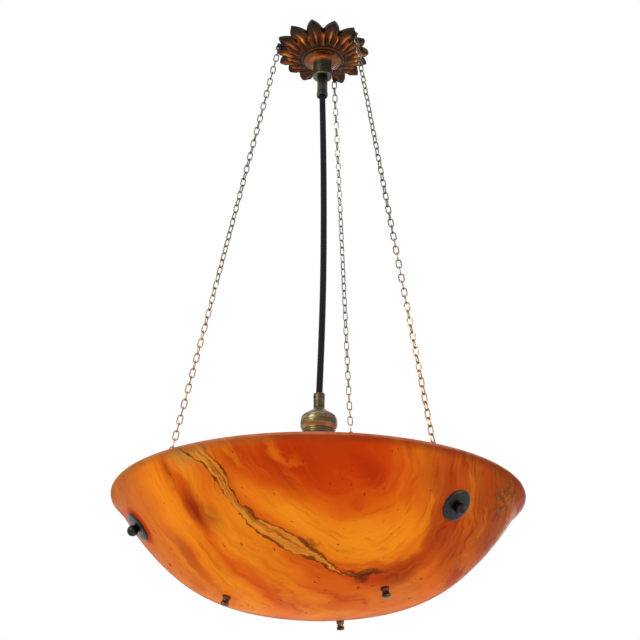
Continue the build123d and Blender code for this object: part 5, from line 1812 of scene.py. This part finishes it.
# %% Lampholder's grip and cap
HOLDER_TOP, HOLDER_GRIP_R, HOLDER_GRIP_LENGTH, HOLDER_CAP_DROP = -440.4, 6.15, 17.5, 10.6
SPIGOT_LENGTH, SPIGOT_STEP, CAP_WALL, CAP_THICKNESS = 4.0, 1.15, 1.0, 1.3
HOLDER_BODY_R, HOLDER_BODY_WALL, HOLDER_BODY_LENGTH = 17.5, 1.2, 42.3
SHADE_RING_R, SHADE_RING_T, SHADE_RING_GAP = 19.5, 11.7, 0.3
holder_grip_low = HOLDER_TOP - HOLDER_GRIP_LENGTH
cap_low = holder_grip_low - HOLDER_CAP_DROP
body_low = cap_low - HOLDER_BODY_LENGTH
ring_high = cap_low - SHADE_RING_GAP
ring_low = ring_high - SHADE_RING_T
spigot_low = holder_grip_low - SPIGOT_LENGTH
spigot_r = HOLDER_GRIP_R - SPIGOT_STEP

holder_grip_outline = rounded(
    [
        (CORD_BORE_R, HOLDER_TOP), (HOLDER_GRIP_R - 0.6, HOLDER_TOP), (HOLDER_GRIP_R, HOLDER_TOP - 0.8),
        (HOLDER_GRIP_R, HOLDER_TOP - 9.0), (HOLDER_GRIP_R - 0.15, HOLDER_TOP - 9.4),
        (HOLDER_GRIP_R - 0.15, holder_grip_low + 0.5), (HOLDER_GRIP_R, holder_grip_low),
        (spigot_r, holder_grip_low), (spigot_r, spigot_low), (CORD_BORE_R, spigot_low),
    ],
    0.25,
)
# the cap's ogee: radius, and how far down it lies
CAP_LINE = (
    (6.6, 0.0), (7.3, 0.9), (8.6, 1.7), (11.0, 3.2), (13.0, 4.7), (14.9, 6.1), (16.9, 7.5), (18.1, 8.6),
    (18.7, 9.5), (18.9, 10.2), (18.8, 10.6),
)
cap_outline = [(spigot_r + FIT, holder_grip_low)]
cap_outline += [(radius, holder_grip_low - down) for radius, down in CAP_LINE]
cap_outline += [(HOLDER_BODY_R - HOLDER_BODY_WALL, cap_low)]
cap_outline += [
    (radius - CAP_WALL, holder_grip_low - down - CAP_THICKNESS) for radius, down in CAP_LINE[-5:2:-1]
]
cap_outline += [(spigot_r + FIT, spigot_low + 0.8)]
print("cap from", round(holder_grip_low, 1), "down to", round(cap_low, 1), "mm")

# %% Lampholder's skirt and ring
GROOVE_SPACING, GROOVE_DEPTH, GROOVE_WIDTH, PLAIN_END = 2.4, 0.4, 0.8, 2.0


def grooved(radius, high, low):
    """Down a cylinder with small round grooves."""
    line, height = [(radius, high)], high - GROOVE_SPACING
    while height > low + GROOVE_WIDTH:
        line += [(radius, height + GROOVE_WIDTH / 2), (radius - GROOVE_DEPTH, height)]
        line += [(radius, height - GROOVE_WIDTH / 2)]
        height -= GROOVE_SPACING
    return line + [(radius, low)]


body_outline = (
    [(HOLDER_BODY_R - HOLDER_BODY_WALL, cap_low)]
    + grooved(HOLDER_BODY_R, cap_low, body_low + PLAIN_END)
    + [(HOLDER_BODY_R, body_low + 0.3), (HOLDER_BODY_R - 0.3, body_low)]
    + [(HOLDER_BODY_R - HOLDER_BODY_WALL, body_low)]
)
ring_r = SHADE_RING_R
ring_outline = [
    (HOLDER_BODY_R + SHADE_RING_GAP, ring_low), (ring_r - 1.5, ring_low), (ring_r - 0.5, ring_low + 1.7),
    (ring_r, ring_low + 2.7), (ring_r, ring_low + 4.2), (ring_r - 0.35, ring_low + 4.5),
    (ring_r - 0.35, ring_low + 4.8), (ring_r, ring_low + 5.1), (ring_r, ring_low + 6.7),
    (ring_r - 0.35, ring_low + 7.0), (ring_r - 0.35, ring_low + 7.3), (ring_r, ring_low + 7.6),
    (ring_r, ring_high - 2.2), (ring_r - 0.4, ring_high - 1.9), (ring_r - 0.3, ring_high - 1.4),
    (ring_r - 0.35, ring_high - 0.7), (ring_r - 0.6, ring_high), (HOLDER_BODY_R + SHADE_RING_GAP, ring_high),
]
print("ring from", round(ring_high, 1), "down to", round(ring_low, 1), "mm")

# %% Lampholder finish
BROWN_MIDDLE, BROWN_BRIGHT = colour_of(78, 52, 38), colour_of(104, 76, 56)
BAND_LEFT, BAND_RIGHT = colour_of(196, 140, 34), colour_of(240, 120, 56)


def lamp_band(tree, place, parts):
    """Mask of the line of the lamp's light round the foot of the ring and the skirt under it."""
    band = ease(tree, parts["Z"], (ring_low + 3.4) * MM, (ring_low + 0.4) * MM)
    below = ease(tree, parts["Z"], (ring_low - 1.6) * MM, (ring_low - 0.1) * MM)
    flicker = noise(tree, place, 90.0, 2.0, 0.5).outputs[0]
    uneven = ease(tree, flicker, 0.3, 0.6, 0.55, 1.0)
    return times(tree, band, below, uneven, ease(tree, parts["X"], 0.019, 0.008, 0.35, 1.0))


def make_holder_brass(name, dark, middle, light, share, glow_strength, red_high=0.0):
    """Olive brass that is browner on its right side, as painted shade, and browner at the top of the
    grip. The lamp's light leaves an orange line under the shade ring."""
    material, tree, shader = new_material(name)
    place = object_place(tree)
    parts = axes(tree, place)
    # painted shade: the right side goes brown
    right = ease(tree, parts["X"], -0.001, 0.012, 0.0, 0.75)
    grip_foot, grip_top = (holder_grip_low + 4.0) * MM, (holder_grip_low + 10.0) * MM
    brown = maths(tree, "MAXIMUM", right, ease(tree, parts["Z"], grip_foot, grip_top, 0.0, red_high))
    skin = use(
        tree, PATINA, Place=mapped(tree, place, scale=(0.4, 0.4, 3.0)), Dark=dark,
        Middle=blend(tree, brown, middle, BROWN_MIDDLE), Bright=blend(tree, brown, light, BROWN_BRIGHT),
        Cloud_Scale=45.0, Wear=0.55,
    )
    wear_metal(
        tree, shader, skin, dark, share=share, coat=0.0, metallic=0.6, depth=0.00005, strength=0.1
    )
    warm = blend(tree, ease(tree, parts["X"], -0.012, 0.010), BAND_LEFT, BAND_RIGHT)
    glow = blend(tree, lamp_band(tree, place, parts), NO_LIGHT, warm)
    tree.links.new(glow, shader.inputs["Emission Color"])
    shader.inputs["Emission Strength"].default_value = glow_strength
    return material


holder_brass = make_holder_brass(
    "Lampholder brass", colour_of(46, 34, 24), colour_of(104, 88, 54), colour_of(168, 150, 92), 0.85, 0.42
)
grip_brass = make_holder_brass(
    "Lampholder grip brass", colour_of(36, 28, 20), colour_of(82, 70, 46), colour_of(130, 116, 72),
    0.95, 0.0, red_high=0.6,
)
# the cap's brass is a lighter copy with less edge-on shade: painted highlight on the cap
lit_cap_brass = make_holder_brass(
    "Lampholder cap brass", colour_of(84, 74, 56), colour_of(140, 132, 102), colour_of(196, 192, 160),
    0.45, 0.0,
)
print("lampholder finishes:", holder_brass.name, grip_brass.name, lit_cap_brass.name, sep=", ")

# %% Lampholder
HOLDER_SCREW_DROP, HOLDER_SCREW_TURN = 4.6, 212.3
TURNED_EDGE = 40.0

holder_grip = turn_piece("holder_grip_tube", holder_grip_outline, grip_brass, 64)
holder_hole = screw_hole(HOLDER_SCREW_TURN, HOLDER_TOP - HOLDER_SCREW_DROP)
holder_grip = drill_piece(holder_grip, SCREW_HOLE_R, SCREW_HOLE_LENGTH, grip_brass, **holder_hole)
keep(holder_grip, "lamp", "antique_brass", "lampholder_cord_grip")
holder_cap = turn_piece("holder_ogee_cap", cap_outline, lit_cap_brass, sharp=TURNED_EDGE)
keep(holder_cap, "lamp", "antique_brass", "lampholder_cap")
holder_body = turn_piece("holder_skirt", body_outline, holder_brass, sharp=TURNED_EDGE)
keep(holder_body, "lamp", "antique_brass", "lampholder_body")
shade_ring = turn_piece("holder_shade_ring", ring_outline, holder_brass, sharp=TURNED_EDGE)
keep(shade_ring, "shade_ring_body", "antique_brass", "shade_ring")
for piece in (holder_grip, holder_cap, holder_body, shade_ring):
    report(piece)

# %% Cord's finish and facts
for piece in (pendant_cord, rose_cord, holder_cord):
    piece.data.materials.append(braid)
keep(pendant_cord, "lamp", "cord_braid", "pendant_cord")
keep(rose_cord, "ceiling_fitting", "cord_braid", "cord_in_rose")
keep(holder_cord, "lamp", "cord_braid", "cord_in_lampholder")
print("cord's tube:", len(pendant_cord.data.vertices), "points")

# %% [markdown]
# ## Finishes of the CAD pieces
# Everything else keeps its CAD solid and only gets a better finish: the eye bolts, washers, studs
# and nuts in the bowl, what is inside the rose and the lampholder, and the bulb.

# %% Dress the CAD nodes
FINISHES = {
    "eye_bolts": eye_brass, "inner_leather_washers": leather, "outer_leather_washers": leather,
    "lower_studs": eye_brass, "lower_stud_washers": eye_brass, "lower_stud_nuts": eye_brass,
    "upper_grip_screw": black_bronze, "lampholder_grip_screw": black_bronze,
    "ceiling_strap": steel, "threaded_tube": eye_brass, "tube_lock_nut": eye_brass,
    "upper_cord_cores": insulation, "lamp_cord_cores": insulation, "terminal_block": ceramic,
    "terminal_screws": contact_brass, "lamp_insert": ceramic, "lamp_insert_screws": contact_brass,
    "lamp_thread_shell": contact_brass, "lamp_shell_rim": ceramic, "lamp_centre_contact": contact_brass,
    "bulb_glass": glass, "bulb_stem": glass, "bulb_cap": cap_metal, "bulb_contact_tip": contact_brass,
    "bulb_filament": filament,
}
for name, finish in FINISHES.items():
    mesh = nodes[name].data
    for index in range(len(mesh.materials)):
        mesh.materials[index] = finish
print("dressed", len(FINISHES), "CAD nodes")

# %% [markdown]
# ## Studio
# A pendant hangs under a ceiling, so the floor of the room lies far below it. The world is plain
# and pale: the camera, and glossy and clear surfaces, see it white, while it lights the scene more
# gently, and the floor does the same. Three soft lamps give the metal its highlights, and a small
# warm lamp stands for the bulb.

# %% Floor
FLOOR_Z, FLOOR_REACH = -2.45, 16.0
FLOOR_DARK, FLOOR_LIGHT, FLOOR_GLOW = (0.84, 0.84, 0.84, 1), (0.87, 0.87, 0.87, 1), 0.56


def seen_rays(tree):
    """1 for rays from the camera and for those through clear and off glossy surfaces."""
    ray = add_node(tree, "ShaderNodeLightPath").outputs
    seen = maths(tree, "MAXIMUM", ray["Is Camera Ray"], ray["Is Transmission Ray"])
    return maths(tree, "MAXIMUM", seen, ray["Is Glossy Ray"])


def make_floor_paint():
    material, tree, shader = new_material("Pale floor")
    grain = noise(tree, object_place(tree), 3.0, 3.0, 0.5).outputs[0]
    tree.links.new(blend(tree, grain, FLOOR_DARK, FLOOR_LIGHT), shader.inputs["Base Color"])
    shader.inputs["Roughness"].default_value = 0.9
    shader.inputs["Emission Color"].default_value = (1, 1, 1, 1)
    tree.links.new(times(tree, seen_rays(tree), FLOOR_GLOW), shader.inputs["Emission Strength"])
    return material


floor_mesh = bpy.data.meshes.new("floor")
corners = [(x * FLOOR_REACH, y * FLOOR_REACH, FLOOR_Z) for x, y in ((-1, -1), (1, -1), (1, 1), (-1, 1))]
floor_mesh.from_pydata(corners, [], [(0, 1, 2, 3)])
floor_mesh.materials.append(make_floor_paint())
floor = add_object("floor", floor_mesh)
print("floor at", FLOOR_Z, "m")

# %% World
WORLD_LIGHT, WORLD_SEEN = 0.5, 0.5

world = bpy.data.worlds.new("studio")
bpy.context.scene.world = world
world.use_nodes = True
sky = world.node_tree
level = maths(sky, "MULTIPLY_ADD", seen_rays(sky), WORLD_SEEN, WORLD_LIGHT)
background = sky.nodes["Background"]
sky.links.new(level, background.inputs["Strength"])
background.inputs["Color"].default_value = (1, 1, 1, 1)
bpy.context.scene.view_settings.view_transform = "Standard"
print("the world lights at", WORLD_LIGHT, "and is seen at", WORLD_LIGHT + WORLD_SEEN)

# %% Lights
# each: name, place, what it looks at, size in metres, power in watts
SOFT_LAMPS = (
    ("key", (-1.6, -1.6, 0.5), (0, 0, -0.3), 1.2, 26.0),
    ("fill", (1.9, -0.9, -0.6), (0, 0, -0.4), 1.4, 12.0),
    ("back", (0.6, 1.8, 0.2), (0, 0, -0.3), 1.2, 14.0),
)
BULB_PLACE, BULB_LIGHT_R, BULB_POWER, BULB_WARMTH = (0, 0, -0.545), 0.028, 2.2, (1.0, 0.45, 0.14)


def add_light(name, kind, power):
    data = bpy.data.lights.new(name, kind)
    data.energy = power
    return add_object(name, data)


for name, place, target, size, power in SOFT_LAMPS:
    lamp = add_light(name, "AREA", power)
    lamp.data.shape = "SQUARE"
    lamp.data.size = size
    aim = (Vector(target) - Vector(place)).to_track_quat("-Z", "Y")
    lamp.matrix_world = Matrix.Translation(place) @ aim.to_matrix().to_4x4()

bulb_lamp = add_light("bulb_light", "POINT", BULB_POWER)
bulb_lamp.data.shadow_soft_size = BULB_LIGHT_R
bulb_lamp.data.color = BULB_WARMTH
bulb_lamp.location = BULB_PLACE
bulb_lamp.visible_camera = False
bulb_lamp.visible_transmission = False
bulb_lamp.visible_glossy = False
print("lamps:", len(SOFT_LAMPS) + 1)
